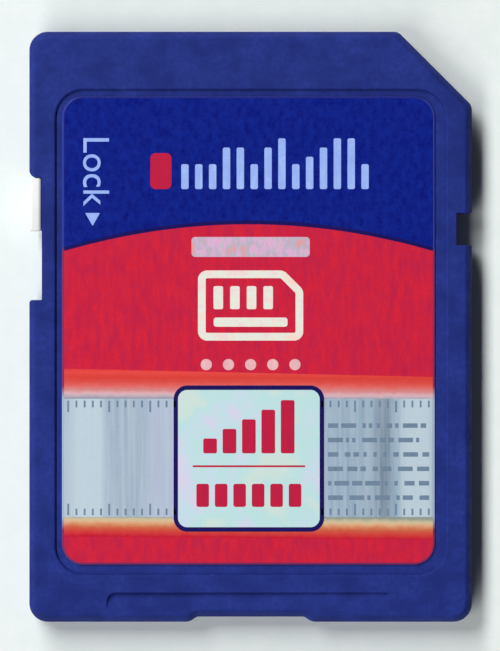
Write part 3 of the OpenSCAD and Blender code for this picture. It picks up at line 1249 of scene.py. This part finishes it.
@dataclass
class FrontCover:
    """Front half of the case: sloped rim, label recess and nail groove."""

    interior: Interior
    top: float
    label_gap: float = 0.32
    label_gap_right: float = 0.55
    label_gap_rear: float = 0.5
    rim: float = 0.33
    rim_drop: float = 0.44
    rim_round: float = 0.1
    recess_depth: float = 0.18
    recess_radius: float = 1.5
    recess_round: float = 0.145
    groove_span: Point = (-7.8, 7.45)
    groove_length: float = 0.87
    groove_depths: Point = (0.28, 0.17)
    groove_lean: Point = (0.72, 0.35)
    groove_place: float = 1.62
    groove_radius: float = 0.45
    groove_rise: float = 0.02
    rib_width: float = 0.4
    rib_inset: float = 0.4
    rib_ends: Point = (0.6, 0.5)
    rib_start: float = 1.0
    edge_break: float = 0.03

    @property
    def recess_plan(self) -> tuple[Point, Point]:
        """Lowest and highest corner of the label's recess.

        Returns:
            The two corners, in millimetres.
        """
        low, high = node_box("label")
        start = (low.x - self.label_gap, low.y - self.label_gap_rear)
        return start, (high.x + self.label_gap_right, high.y + self.label_gap)

    def recess(self) -> BMesh:
        """Make the cutter of the recess around the label."""
        heights = (self.top - self.recess_depth, self.top + PAST)
        return bar(*self.recess_plan, self.recess_radius, heights)

    def soften_recess(self, cover: Object) -> None:
        """Round over the recess's upper edge.

        Args:
            cover: The cover, with its recess cut.
        """
        mesh = bmesh.new()
        mesh.from_mesh(cover.data)
        low, high = self.recess_plan
        round_level(mesh, self.top, self.recess_round, segments=4, low=low, high=high)
        mesh.to_mesh(cover.data)
        mesh.free()

    def groove(self) -> BMesh:
        """Make the cutter of the nail groove: steep in front and on the left, a ramp behind.

        Returns:
            A closed mesh.
        """
        front = -self.interior.outline.lead + self.groove_place
        left, right = self.groove_span
        deep, shallow = self.groove_depths
        corners = rect_corners((left, front - self.groove_length), (right, front))
        radii = [0, 0, 0, self.groove_radius]
        cutter = plate(corners, radii, self.top - deep, self.top + self.groove_rise)
        for vert in cutter.verts:
            if vert.co.z < self.top * MM:
                along = (vert.co.x / MM - left) / (right - left)
                ahead = 1 - (front - vert.co.y / MM) / self.groove_length
                depth = (deep + (shallow - deep) * along) * ahead * MM
                vert.co.z = self.top * MM - depth
                vert.co.x += self.groove_lean[0] * (1 - along) * depth
                vert.co.y -= self.groove_lean[1] * depth
        bmesh.ops.triangulate(cutter, faces=list(cutter.faces))
        return cutter

    def blank(self) -> BMesh:
        """Make the cover's solid, whose rim slopes and is rounded at the top.

        Returns:
            A closed mesh.
        """
        mesh = self.interior.outline.solid(self.interior.parting, self.top)
        round_level(mesh, self.top, self.rim, segments=1)
        shoulder = (self.top - self.rim) * MM
        for vert in mesh.verts:
            if abs(vert.co.z - shoulder) < NEAR * MM:
                vert.co.z = (self.top - self.rim_drop) * MM
        round_level(mesh, self.top, self.rim_round, segments=4)
        return mesh

    def ribs(self) -> list[BMesh]:
        """Make the ribs under the skin that hold the board down.

        Returns:
            Closed meshes.
        """
        inner, outline = self.interior, self.interior.outline
        _, board_high = node_box("circuit_board")
        low, high = board_high.z + inner.tongue_clearance, inner.ceiling + BITE
        side = outline.right - inner.wall - self.rib_inset
        front = outline.lead - inner.wall - self.rib_inset
        rear = -outline.lead + inner.rear_wall + self.rib_ends[0]
        end = inner.notches.lock_span[0] - inner.pier - self.rib_ends[1]
        across = side - outline.corner_cut
        return [
            block((-side, rear, low), (-side + self.rib_width, end, high)),
            block((side - self.rib_width, rear, low), (side, end, high)),
            block((-side + self.rib_start, front - self.rib_width, low), (across, front, high)),
        ]

    def build(self, palette: Palette) -> Object:
        """Make and dress the cover.

        Args:
            palette: The finishes.

        Returns:
            The cover, enrolled in the frame.
        """
        inner = self.interior
        cover = make_object("front_shell", self.blank())
        cutters = [*inner.notches.cutters(), self.recess(), self.groove()]
        cutters.append(inner.pocket(inner.parting - PAST, inner.ceiling))
        combine(cover, [*cutters, *inner.slider_way()], Cut.AWAY)
        self.soften_recess(cover)
        tongue = inner.tongue_runs(0, inner.parting - inner.tongue_height, inner.parting + BITE)
        combine(cover, [*tongue, *self.ribs()], Cut.JOIN)
        break_edges(cover, self.edge_break)
        dress(cover, palette["case_blue"])
        return enrol(cover, Body.CARD, Slot.CASE, "front_cover")


@dataclass
class BackCover:
    """Back half of the case: guide rails, board ledges and the comb around the contacts."""

    interior: Interior
    rail_height: float
    board_height: float
    rail_width: float = 0.75
    foot: float = 3.5
    skin: float = 0.3
    ledge: float = 0.7
    window_gap: float = 0.07
    window_end: float = 0.2
    nose: float = 0.25
    edge_break: float = 0.03

    def undercuts(self) -> list[BMesh]:
        """Make the cutters under both guide rails.

        Returns:
            Closed meshes.
        """
        outline = self.interior.outline
        start, end = -outline.lead + self.foot, outline.lead + PAST
        inner, outer = outline.right - self.rail_width, outline.right + PAST
        return [
            block((inner, start, -PAST), (outer, end, self.rail_height)),
            block((-outer, start, -PAST), (-inner, end, self.rail_height)),
        ]

    def windows(self) -> list[BMesh]:
        """Make the cutters of the nine windows, each around its contact.

        Returns:
            Closed meshes.
        """
        edge, top = self.interior.outline.lead + PAST, self.board_height + PAST
        cutters = []
        for number in range(1, CONTACTS + 1):
            low, high = node_box(f"contact_{number}")
            start = (low.x - self.window_gap, low.y - self.window_end, -PAST)
            cutters.append(block(start, (high.x + self.window_gap, edge, top)))
        return cutters

    def hollow(self) -> BMesh:
        """Make the cutter of the room under the board, which three ribs cross.

        Returns:
            A closed mesh.
        """
        inner, outline = self.interior, self.interior.outline
        corner_pad, _ = node_box(f"contact_{CONTACTS}")
        comb = corner_pad.y - self.window_end - self.ledge
        wide = outline.right - inner.wall - self.ledge
        reach, half, top = outline.lead + PAST, self.ledge / 2, self.board_height + 2 * PAST
        kept = [block((-reach, comb, -PAST), (reach, reach, top))]
        kept += [
            block((place - half, -reach, -PAST), (place + half, comb + half, top))
            for place in (-wide / 2, 0.0, wide / 2)
        ]
        return carve(inner.pocket(self.skin, self.board_height + PAST, self.ledge), kept)

    def nose_slope(self) -> BMesh:
        """Make the cutter of the slope along the leading edge.

        Returns:
            A closed mesh.
        """
        edge, nose = self.interior.outline.lead, self.nose
        profile = [
            (edge - nose, -PAST), (edge + PAST, -PAST), (edge + PAST, nose + PAST), (edge, nose),
            (edge - nose, 0),
        ]
        reach = self.interior.outline.right + PAST
        return prism(profile, -reach, reach)

    def build(self, palette: Palette) -> Object:
        """Make and dress the cover.

        Args:
            palette: The finishes.

        Returns:
            The cover, enrolled in the frame.
        """
        inner = self.interior
        cover = make_object("back_shell", inner.outline.solid(0, inner.parting))
        cutters = [*inner.notches.cutters(), *self.undercuts()]
        cutters.append(inner.pocket(self.board_height, inner.parting + PAST))
        cutters += [self.hollow(), *self.windows(), self.nose_slope(), *inner.slider_way()]
        gap = inner.tongue_clearance
        depth = inner.parting - inner.tongue_height - gap
        cutters += inner.tongue_runs(gap, depth, inner.parting + PAST)
        combine(cover, cutters, Cut.AWAY)
        break_edges(cover, self.edge_break)
        dress(cover, palette["case_blue"])
        return enrol(cover, Body.CARD, Slot.CASE, "back_cover")


@dataclass
class LockSlider:
    """White slider: a rounded grip in the notch, a neck through the wall and a foot behind it."""

    interior: Interior
    grip_width: float = 0.64
    outer_radius: float = 0.16
    inner_radius: float = 0.2
    groove: float = 0.07
    groove_steps: int = 5
    groove_reach: float = 3.0
    neck_length: float = 1.6
    neck_height: float = 0.24
    neck_overlap: float = 0.2
    foot_width: float = 0.5
    foot_length: float = 2.2
    foot_height: float = 0.58
    edge_break: float = 0.025

    def grip(self, low: Vector, high: Vector) -> BMesh:
        """Make the grip, rounded along its edges.

        Args:
            low: Lowest corner of the slider.
            high: Highest corner of the slider.

        Returns:
            A closed mesh.
        """
        inner = low.x + self.grip_width
        mesh = block(low, (inner, high.y, high.z))
        for x, z, radius in (
            (low.x, low.z, self.outer_radius),
            (low.x, high.z, self.outer_radius),
            (inner, high.z, self.inner_radius),
        ):
            round_edges(mesh, edges_within(mesh, (x, -FAR, z), (x, FAR, z)), radius, segments=8)
        return mesh

    def grooves(self, low: Vector, high: Vector) -> list[BMesh]:
        """Make the cutters of the fine grooves along the grip's face.

        Args:
            low: Lowest corner of the slider.
            high: Highest corner of the slider.

        Returns:
            Three square bars, turned on edge.
        """
        cutters = []
        half, reach = self.groove / 2, self.groove_reach
        step = (high.z - low.z) / self.groove_steps
        turn = Matrix.Rotation(math.radians(45), 4, "Y")
        for number in (-1, 0, 1):
            mesh = block((-half, -reach, -half), (half, reach, half))
            height = (low.z + high.z) / 2 + number * step
            middle = (low.x * MM, (low.y + high.y) / 2 * MM, height * MM)
            place = Matrix.Translation(middle) @ turn
            bmesh.ops.transform(mesh, matrix=place, verts=list(mesh.verts))
            cutters.append(mesh)
        return cutters

    def build(self, palette: Palette) -> Object:
        """Make and dress the slider.

        Args:
            palette: The finishes.

        Returns:
            The slider, enrolled in the frame.
        """
        low, high = node_box("lock_slider")
        middle = (low.y + high.y) / 2
        parting = self.interior.parting
        inner = low.x + self.grip_width
        slider = make_object("slider_grip", self.grip(low, high))
        combine(slider, self.grooves(low, high), Cut.AWAY)
        length, height = self.neck_length / 2, self.neck_height / 2
        neck = block(
            (inner - self.neck_overlap, middle - length, parting - height),
            (high.x - self.foot_width / 2, middle + length, parting + height),
        )
        length, height = self.foot_length / 2, self.foot_height / 2
        foot = block(
            (high.x - self.foot_width, middle - length, parting - height),
            (high.x, middle + length, parting + height),
        )
        combine(slider, [neck, foot], Cut.JOIN)
        break_edges(slider, self.edge_break)
        dress(slider, palette["slider_white"])
        return enrol(slider, Body.SLIDER, Slot.SLIDER, "lock_slider")


# Label


@dataclass(frozen=True)
class MarkRow:
    """Row of printed bars at an even pitch, of one width, each longer than the last by a rise."""

    count: int
    start: float
    pitch: float
    half: float
    low: float
    high: float
    radius: float
    rise: float = 0.0

    def bars(self, heights: Point, middle: float = 0.0) -> list[BMesh]:
        """Make the bars.

        Args:
            heights: Height of the underside and of the top of the ink.
            middle: Place that the row's start is counted from.

        Returns:
            Closed meshes.
        """
        made = []
        for number in range(self.count):
            x = middle + self.start + number * self.pitch
            end = (x + self.half, self.high + number * self.rise)
            made.append(bar((x - self.half, self.low), end, self.radius, heights))
        return made


@dataclass
class Label:
    """Printed sticker: a cut sheet, and each ink as a thin layer of its own on top."""

    radius: float = 1.15
    margin: float = 0.12
    film: float = 0.006
    edge_round: float = 0.05
    arc_side: float = 4.3
    arc_rise: float = 1.45
    arc_line: float = 0.2
    arc_facets: int = 32
    band: Point = (-10.3, -3.9)
    upper_stripe: Point = (-2.26, -2.72)
    lower_stripe: Point = (-11.35, -11.5)
    word_low: Point = (-9.07, 6.53)
    word_high: Point = (-7.66, 10.21)
    pointer: tuple[Point, ...] = ((-8.96, 6.16), (-8.555, 5.46), (-8.15, 6.16))
    pointer_radius: float = 0.03
    header_bars: int = 14
    header_low: Point = (-3.93, 7.45)
    header_high: Point = (6.57, 10.2)
    header_half: float = 0.2
    header_radius: float = 0.1
    header_drops: tuple[float, ...] = (0.0, 0.5, 1.0, 1.4)
    mark_span: Point = (1.5, 0.35)
    mark_end: float = 9.4
    mark_radius: float = 0.3
    foil: MarkRow = MarkRow(
        count=1, start=0.0, pitch=0.0, half=3.2, low=3.78, high=4.86, radius=0.2
    )
    sign: tuple[Point, ...] = (
        (-2.85, -0.75), (2.85, -0.75), (2.85, 2.0), (1.8, 3.05), (-2.85, 3.05),
    )
    sign_radius: float = 0.5
    sign_line: float = 0.42
    sign_teeth: MarkRow = MarkRow(
        count=4, start=-1.75, pitch=0.9, half=0.26, low=0.95, high=2.2, radius=0.1
    )
    sign_foot: MarkRow = MarkRow(
        count=1, start=0.0, pitch=0.0, half=2.0, low=0.0, high=0.5, radius=0.15
    )
    dots: MarkRow = MarkRow(
        count=5, start=-2.4, pitch=1.2, half=0.3, low=-2.35, high=-1.75, radius=0.29
    )
    ticks: int = 45
    tick_group: int = 5
    tick_lengths: Point = (0.62, 0.36)
    tick_half: float = 0.05
    tick_gap: float = 0.1
    dash_rows: int = 6
    dash_start: float = 1.45
    dash_pitch: float = 0.78
    dash_half: float = 0.12
    dash_gap: float = 0.45
    dash_ends: Point = (0.5, 0.2)
    dash_lengths: tuple[float, ...] = (0.18, 0.3, 0.55, 0.8)
    dash_spaces: tuple[float, ...] = (0.16, 0.24, 0.36)
    badge_low: Point = (-3.93, -10.85)
    badge_high: Point = (3.74, -3.42)
    badge_radius: float = 0.5
    badge_line: float = 0.24
    levels: MarkRow = MarkRow(
        count=5, start=-2.1, pitch=1.05, half=0.37, low=-6.85, high=-6.05, radius=0.1,
        rise=0.52,
    )
    rule: MarkRow = MarkRow(
        count=1, start=0.0, pitch=0.0, half=3.05, low=-7.6, high=-7.5, radius=0.04
    )
    cells: MarkRow = MarkRow(
        count=6, start=-2.5, pitch=1.0, half=0.34, low=-9.75, high=-8.5, radius=0.12
    )

    def __post_init__(self) -> None:
        """Read the sheet's place from the frame."""
        self.low, self.high = node_box("label")
        self.left, self.right = self.low.x + self.margin, self.high.x - self.margin
        self.rear, self.front = self.low.y + self.margin, self.high.y - self.margin
        self.middle = (self.left + self.right) / 2

    def layer(self, number: int) -> Point:
        """Give the heights of an ink layer, which starts on the sheet."""
        return self.high.z, self.high.z + number * self.film

    def ink(self, name: str, mesh: BMesh, finish: Material) -> Object:
        """Turn a mesh into an ink piece of the label.

        Args:
            name: Name of the piece.
            mesh: Its mesh.
            finish: Its ink.

        Returns:
            The piece, enrolled in the frame.
        """
        piece = make_object(name, mesh)
        dress(piece, finish)
        return enrol(piece, Body.CARD, Slot.LABEL)

    def cut_sheet(self, palette: Palette) -> None:
        """Make the sheet, with its cut edge slightly rounded over.

        Args:
            palette: The finishes.
        """
        mesh = bar(self.low.xy, self.high.xy, self.radius, (self.low.z, self.high.z))
        round_level(mesh, self.high.z, self.edge_round, segments=3)
        piece = make_object("label_sheet", mesh)
        piece.data.shade_smooth()
        piece.modifiers.new("flat_shading", "WEIGHTED_NORMAL").weight = 100
        low, high = self.band
        tints = (
            (self.low.y, tint(120, 46, 98)), (low - 0.7, tint(132, 50, 100)),
            (low, tint(164, 182, 216)), (high, tint(164, 182, 216)),
            (high + 0.7, tint(132, 50, 100)), (self.arc_side - 0.3, tint(132, 50, 100)),
            (self.arc_side, tint(50, 60, 148)), (self.high.y - 0.3, tint(50, 60, 148)),
            (self.high.y - 0.1, tint(36, 44, 130)), (self.high.y, tint(36, 44, 130)),
        )
        dress(piece, FadedInk("label_edge", tints, wander=0.03, roughness=0.3).build())
        enrol(piece, Body.CARD, Slot.LABEL, "label")

    def arched(self, side: float, number: int) -> BMesh:
        """Make the header's field, whose lower edge is a shallow arc.

        Args:
            side: Where the arc starts at the sides.
            number: Number of the ink layer.

        Returns:
            A closed mesh.
        """
        low, high = self.layer(number)
        corners = rect_corners((self.left, side), (self.right, self.front))
        round_over = self.radius - self.margin
        mesh = sheet(corners, [0, 0, round_over, round_over], low)
        lower = edges_within(mesh, (-FAR, side, -FAR), (FAR, side, FAR))
        bmesh.ops.subdivide_edges(mesh, edges=lower, cuts=self.arc_facets - 1)
        half = (self.right - self.left) / 2 * MM
        for vert in mesh.verts:
            if abs(vert.co.y - side * MM) < NEAR * MM:
                share = (vert.co.x - self.middle * MM) / half
                vert.co.y += self.arc_rise * MM * (1 - share * share)
        thicken(mesh, high - low)
        return mesh

    def fields(self, palette: Palette) -> None:
        """Make the red ground, the blue header and the dark line between them.

        Args:
            palette: The finishes.
        """
        low, high = (self.left, self.rear), (self.right, self.front)
        ground = bar(low, high, self.radius - self.margin, self.layer(1))
        line = self.arched(self.arc_side - self.arc_line, 2)
        self.ink("ink_ground", ground, palette["ink_red"])
        self.ink("ink_header_line", line, palette["ink_navy"])
        self.ink("ink_header", self.arched(self.arc_side, 3), palette["ink_blue"])

    def header_marks(self, palette: Palette) -> None:
        """Make the word beside the slider, its pointer, and a plain row of upright bars.

        Args:
            palette: The finishes.
        """
        base, top = self.layer(4)
        word = lettering("Lock")
        turn = Matrix.Rotation(math.radians(-90), 4, "Z")
        bmesh.ops.transform(word, matrix=turn, verts=list(word.verts))
        fit(word, self.word_low, self.word_high, base)
        thicken(word, top - base)
        pointer = plate(self.pointer, [self.pointer_radius] * 3, base, top)
        draw = random.Random(11)
        (left, low), (right, high) = self.header_low, self.header_high
        pitch = (right - left) / self.header_bars
        bars = []
        for number in range(self.header_bars):
            x = left + (number + 0.5) * pitch
            end = (x + self.header_half, high - draw.choice(self.header_drops))
            bars.append(bar((x - self.header_half, low), end, self.header_radius, (base, top)))
        start, end = (left - inset for inset in self.mark_span)
        mark = bar((start, low), (end, self.mark_end), self.mark_radius, (base, top))
        self.ink("ink_header_mark", mark, palette["ink_crimson"])
        self.ink("ink_lock_word", word, palette["ink_sky"])
        self.ink("ink_lock_pointer", pointer, palette["ink_sky"])
        self.ink("ink_header_bars", gathered(bars), palette["ink_sky"])

    def ground_marks(self, palette: Palette) -> None:
        """Make the foil bar, the card sign and the row of dots on the red ground.

        Args:
            palette: The finishes.
        """
        heights = self.layer(2)
        self.ink("ink_foil_bar", gathered(self.foil.bars(heights)), palette["ink_foil"])
        mesh = sheet(self.sign, [self.sign_radius] * len(self.sign), heights[0])
        rim = bmesh.ops.inset_region(
            mesh,
            faces=list(mesh.faces),
            thickness=self.sign_line * MM,
            use_boundary=True,
            use_even_offset=True,
        )
        inner = [face for face in mesh.faces if face not in rim["faces"]]
        bmesh.ops.delete(mesh, geom=inner, context="FACES")
        thicken(mesh, heights[1] - heights[0])
        sign = [mesh, *self.sign_teeth.bars(heights), *self.sign_foot.bars(heights)]
        self.ink("ink_card_sign", gathered(sign), palette["ink_cream"])
        self.ink("ink_dots", gathered(self.dots.bars(heights)), palette["ink_blush"])

    def stripes(self, palette: Palette) -> None:
        """Make the silver band, and the stripes that fade from it into the red ground.

        Args:
            palette: The finishes.
        """
        low, high = self.band
        left, right = self.left, self.right
        start, end = self.upper_stripe
        corners = [(left, high), (right, high), (right, end), (left, start)]
        upper = plate(corners, [0] * 4, *self.layer(2))
        upper_tints = (
            (high, tint(160, 158, 176)), (high + 0.16, tint(208, 180, 190)),
            (high + 0.26, tint(224, 176, 183)), (high + 0.42, tint(218, 140, 140)),
            (high + 0.7, tint(228, 100, 94)), (high + 0.88, tint(224, 80, 74)),
            (high + 1.13, tint(219, 66, 58)), (high + 1.4, tint(235, 76, 70)),
            (high + 1.65, tint(214, 46, 56)),
        )
        self.ink("ink_upper_stripe", upper, FadedInk("upper_fade", upper_tints, tilt=0.006).build())
        start, end = self.lower_stripe
        corners = [(left, start), (right, end), (right, low), (left, low)]
        lower = plate(corners, [0] * 4, *self.layer(2))
        lower_tints = (
            (low - 1.1, tint(204, 30, 54)), (low - 0.87, tint(212, 66, 60)),
            (low - 0.7, tint(208, 92, 68)), (low - 0.6, tint(211, 112, 80)),
            (low - 0.48, tint(216, 142, 102)), (low - 0.37, tint(224, 170, 128)),
            (low - 0.27, tint(220, 189, 150)), (low - 0.16, tint(202, 191, 158)),
            (low, tint(150, 157, 146)),
        )
        self.ink("ink_lower_stripe", lower, FadedInk("lower_fade", lower_tints, tilt=0.011).build())
        band = bar((left, low), (right, high), 0, self.layer(3))
        self.ink("ink_band", band, palette["ink_silver"])

    def band_marks(self, palette: Palette) -> None:
        """Make the fine ticks along the silver band and the rows of dashes on it.

        Args:
            palette: The finishes.
        """
        heights = self.layer(4)
        low, high = self.band
        ticks = []
        half, gap = self.tick_half, self.tick_gap
        pitch = (self.right - self.left) / self.ticks
        for number in range(self.ticks):
            x = self.left + (number + 0.5) * pitch
            reach = self.tick_lengths[0 if number % self.tick_group == 0 else 1]
            for start, end in ((high - gap - reach, high - gap), (low + gap, low + gap + reach)):
                ticks.append(bar((x - half, start), (x + half, end), 0, heights))
        self.ink("ink_ticks", gathered(ticks), palette["ink_slate"])
        draw = random.Random(7)
        dashes = []
        for row in range(self.dash_rows):
            y = high - self.dash_start - row * self.dash_pitch
            x = self.badge_high[0] + self.dash_gap
            while x < self.right - self.dash_ends[0]:
                end = min(x + draw.choice(self.dash_lengths), self.right - self.dash_ends[1])
                dashes.append(bar((x, y - self.dash_half), (end, y + self.dash_half), 0, heights))
                x = end + draw.choice(self.dash_spaces)
        self.ink("ink_dashes", gathered(dashes), palette["ink_slate"])

    def badge(self, palette: Palette) -> None:
        """Make the pale badge, its dark outline and the plain level marks on it.

        Args:
            palette: The finishes.
        """
        (x0, y0), (x1, y1) = self.badge_low, self.badge_high
        radius, edge = self.badge_radius, self.badge_line
        outline = bar((x0 - edge, y0 - edge), (x1 + edge, y1 + edge), radius + edge, self.layer(4))
        self.ink("ink_badge_line", outline, palette["ink_navy"])
        badge = bar(self.badge_low, self.badge_high, radius, self.layer(5))
        self.ink("ink_badge", badge, palette["ink_pearl"])
        heights, middle = self.layer(6), (x0 + x1) / 2
        rows = [row.bars(heights, middle) for row in (self.levels, self.rule, self.cells)]
        self.ink("ink_levels", gathered(sum(rows, [])), palette["ink_crimson"])

    def build(self, palette: Palette) -> None:
        """Make and dress the label.

        Args:
            palette: The finishes.
        """
        self.cut_sheet(palette)
        self.fields(palette)
        self.header_marks(palette)
        self.ground_marks(palette)
        self.stripes(palette)
        self.band_marks(palette)
        self.badge(palette)


@dataclass
class Board:
    """The circuit board and the parts on it, which keep their CAD shapes."""

    capacitors: int = 4
    resistors: int = 6

    def build(self, nodes: dict[str, Object], palette: Palette) -> None:
        """Dress the board's nodes.

        Args:
            nodes: CAD nodes by name.
            palette: The finishes.
        """
        finishes = {
            "circuit_board": "board_green",
            "flash_memory": "moulded_resin",
            "flash_leads": "plated_tin",
            "controller": "moulded_resin",
            "controller_terminals": "plated_tin",
        }
        for kind, count, finish in (
            ("contact", CONTACTS, "plated_gold"),
            ("capacitor", self.capacitors, "fired_ceramic"),
            ("resistor", self.resistors, "glazed_ceramic"),
        ):
            finishes |= {f"{kind}_{number}": finish for number in range(1, count + 1)}
        for name, finish in finishes.items():
            dress(nodes[name], palette[finish])
            LOG.info("%s: dressed in %s", name, finish)


# Studio


@dataclass(frozen=True)
class SoftBox:
    """Flat lamp that faces straight down, sized by the slopes that its light arrives at."""

    name: str
    across: Point
    along: Point
    power: float
    height: float = 600.0

    def hang(self) -> None:
        """Add the lamp to the scene."""
        height = self.height * MM
        lamp = bpy.data.lights.new(self.name, "AREA")
        lamp.shape = "RECTANGLE"
        lamp.size = (self.across[1] - self.across[0]) * height
        lamp.size_y = (self.along[1] - self.along[0]) * height
        lamp.energy = self.power
        holder = bpy.data.objects.new(self.name, lamp)
        holder.location = (sum(self.across) / 2 * height, sum(self.along) / 2 * height, height)
        bpy.context.scene.collection.objects.link(holder)


@dataclass
class Studio:
    """Pale floor, soft light from the upper left, and the camera straight above the card."""

    photo_pixels: tuple[int, int] = (500, 651)
    pixels_per_mm: float = 18.48
    card_centre_pixels: Point = (250.6, 326.75)
    card_top: float = 2.1
    lens: float = 200.0
    sensor: float = 36.0
    floor_size: float = 600.0
    lamps: tuple[SoftBox, ...] = (
        SoftBox("key", (-0.78, -0.35), (0.3, 3.0), 16.5),
        SoftBox("fill", (-0.78, -0.35), (-3.0, -0.1), 8.2),
    )
    sky: float = 0.035
    clip: Point = (0.01, 10.0)

    def floor(self, palette: Palette) -> None:
        """Lay the floor under the card.

        Args:
            palette: The finishes.
        """
        mesh = bmesh.new()
        bmesh.ops.create_grid(mesh, x_segments=1, y_segments=1, size=self.floor_size / 2 * MM)
        floor = make_object("floor", mesh)
        dress(floor, palette["pale_floor"])

    def light(self) -> None:
        """Hang the row of soft lamps above the left side, and add the even light of the room."""
        for lamp in self.lamps:
            lamp.hang()
        world = bpy.data.worlds.new("room")
        world.use_nodes = True
        background = world.node_tree.nodes["Background"].inputs
        background["Color"].default_value = (1, 1, 1, 1)
        background["Strength"].default_value = self.sky
        bpy.context.scene.world = world

    def camera(self) -> None:
        """Place the camera so that the card fills the frame as in the photograph."""
        wide, tall = self.photo_pixels
        data = bpy.data.cameras.new("camera")
        data.lens = self.lens
        data.sensor_width = self.sensor
        data.clip_start, data.clip_end = self.clip
        distance = tall / self.pixels_per_mm * self.lens / self.sensor
        x = (wide / 2 - self.card_centre_pixels[0]) / self.pixels_per_mm
        y = (self.card_centre_pixels[1] - tall / 2) / self.pixels_per_mm
        camera = bpy.data.objects.new("camera", data)
        camera.location = Vector((x, y, self.card_top + distance)) * MM
        bpy.context.scene.collection.objects.link(camera)
        bpy.context.scene.camera = camera

    def build(self, palette: Palette) -> None:
        """Set up the whole studio.

        Args:
            palette: The finishes.
        """
        self.floor(palette)
        self.light()
        self.camera()
        bpy.context.scene.view_settings.view_transform = "Standard"


def main() -> None:
    """Build the card around the frame, then its studio."""
    logging.basicConfig(level=logging.INFO, format="%(message)s")
    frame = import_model()
    palette = Palette()
    low, high = node_box("front_cover")
    outline = Outline(width=high.x - low.x, length=high.y - low.y)
    notches = Notches(outline)
    interior = Interior(outline, notches)
    pad_low, pad_high = node_box("contact_1")
    FrontCover(interior, top=high.z).build(palette)
    BackCover(interior, rail_height=pad_low.z, board_height=pad_high.z).build(palette)
    LockSlider(interior).build(palette)
    Label().build(palette)
    Board().build(frame["nodes"], palette)
    Studio().build(palette)


if __name__ == "__main__":
    main()
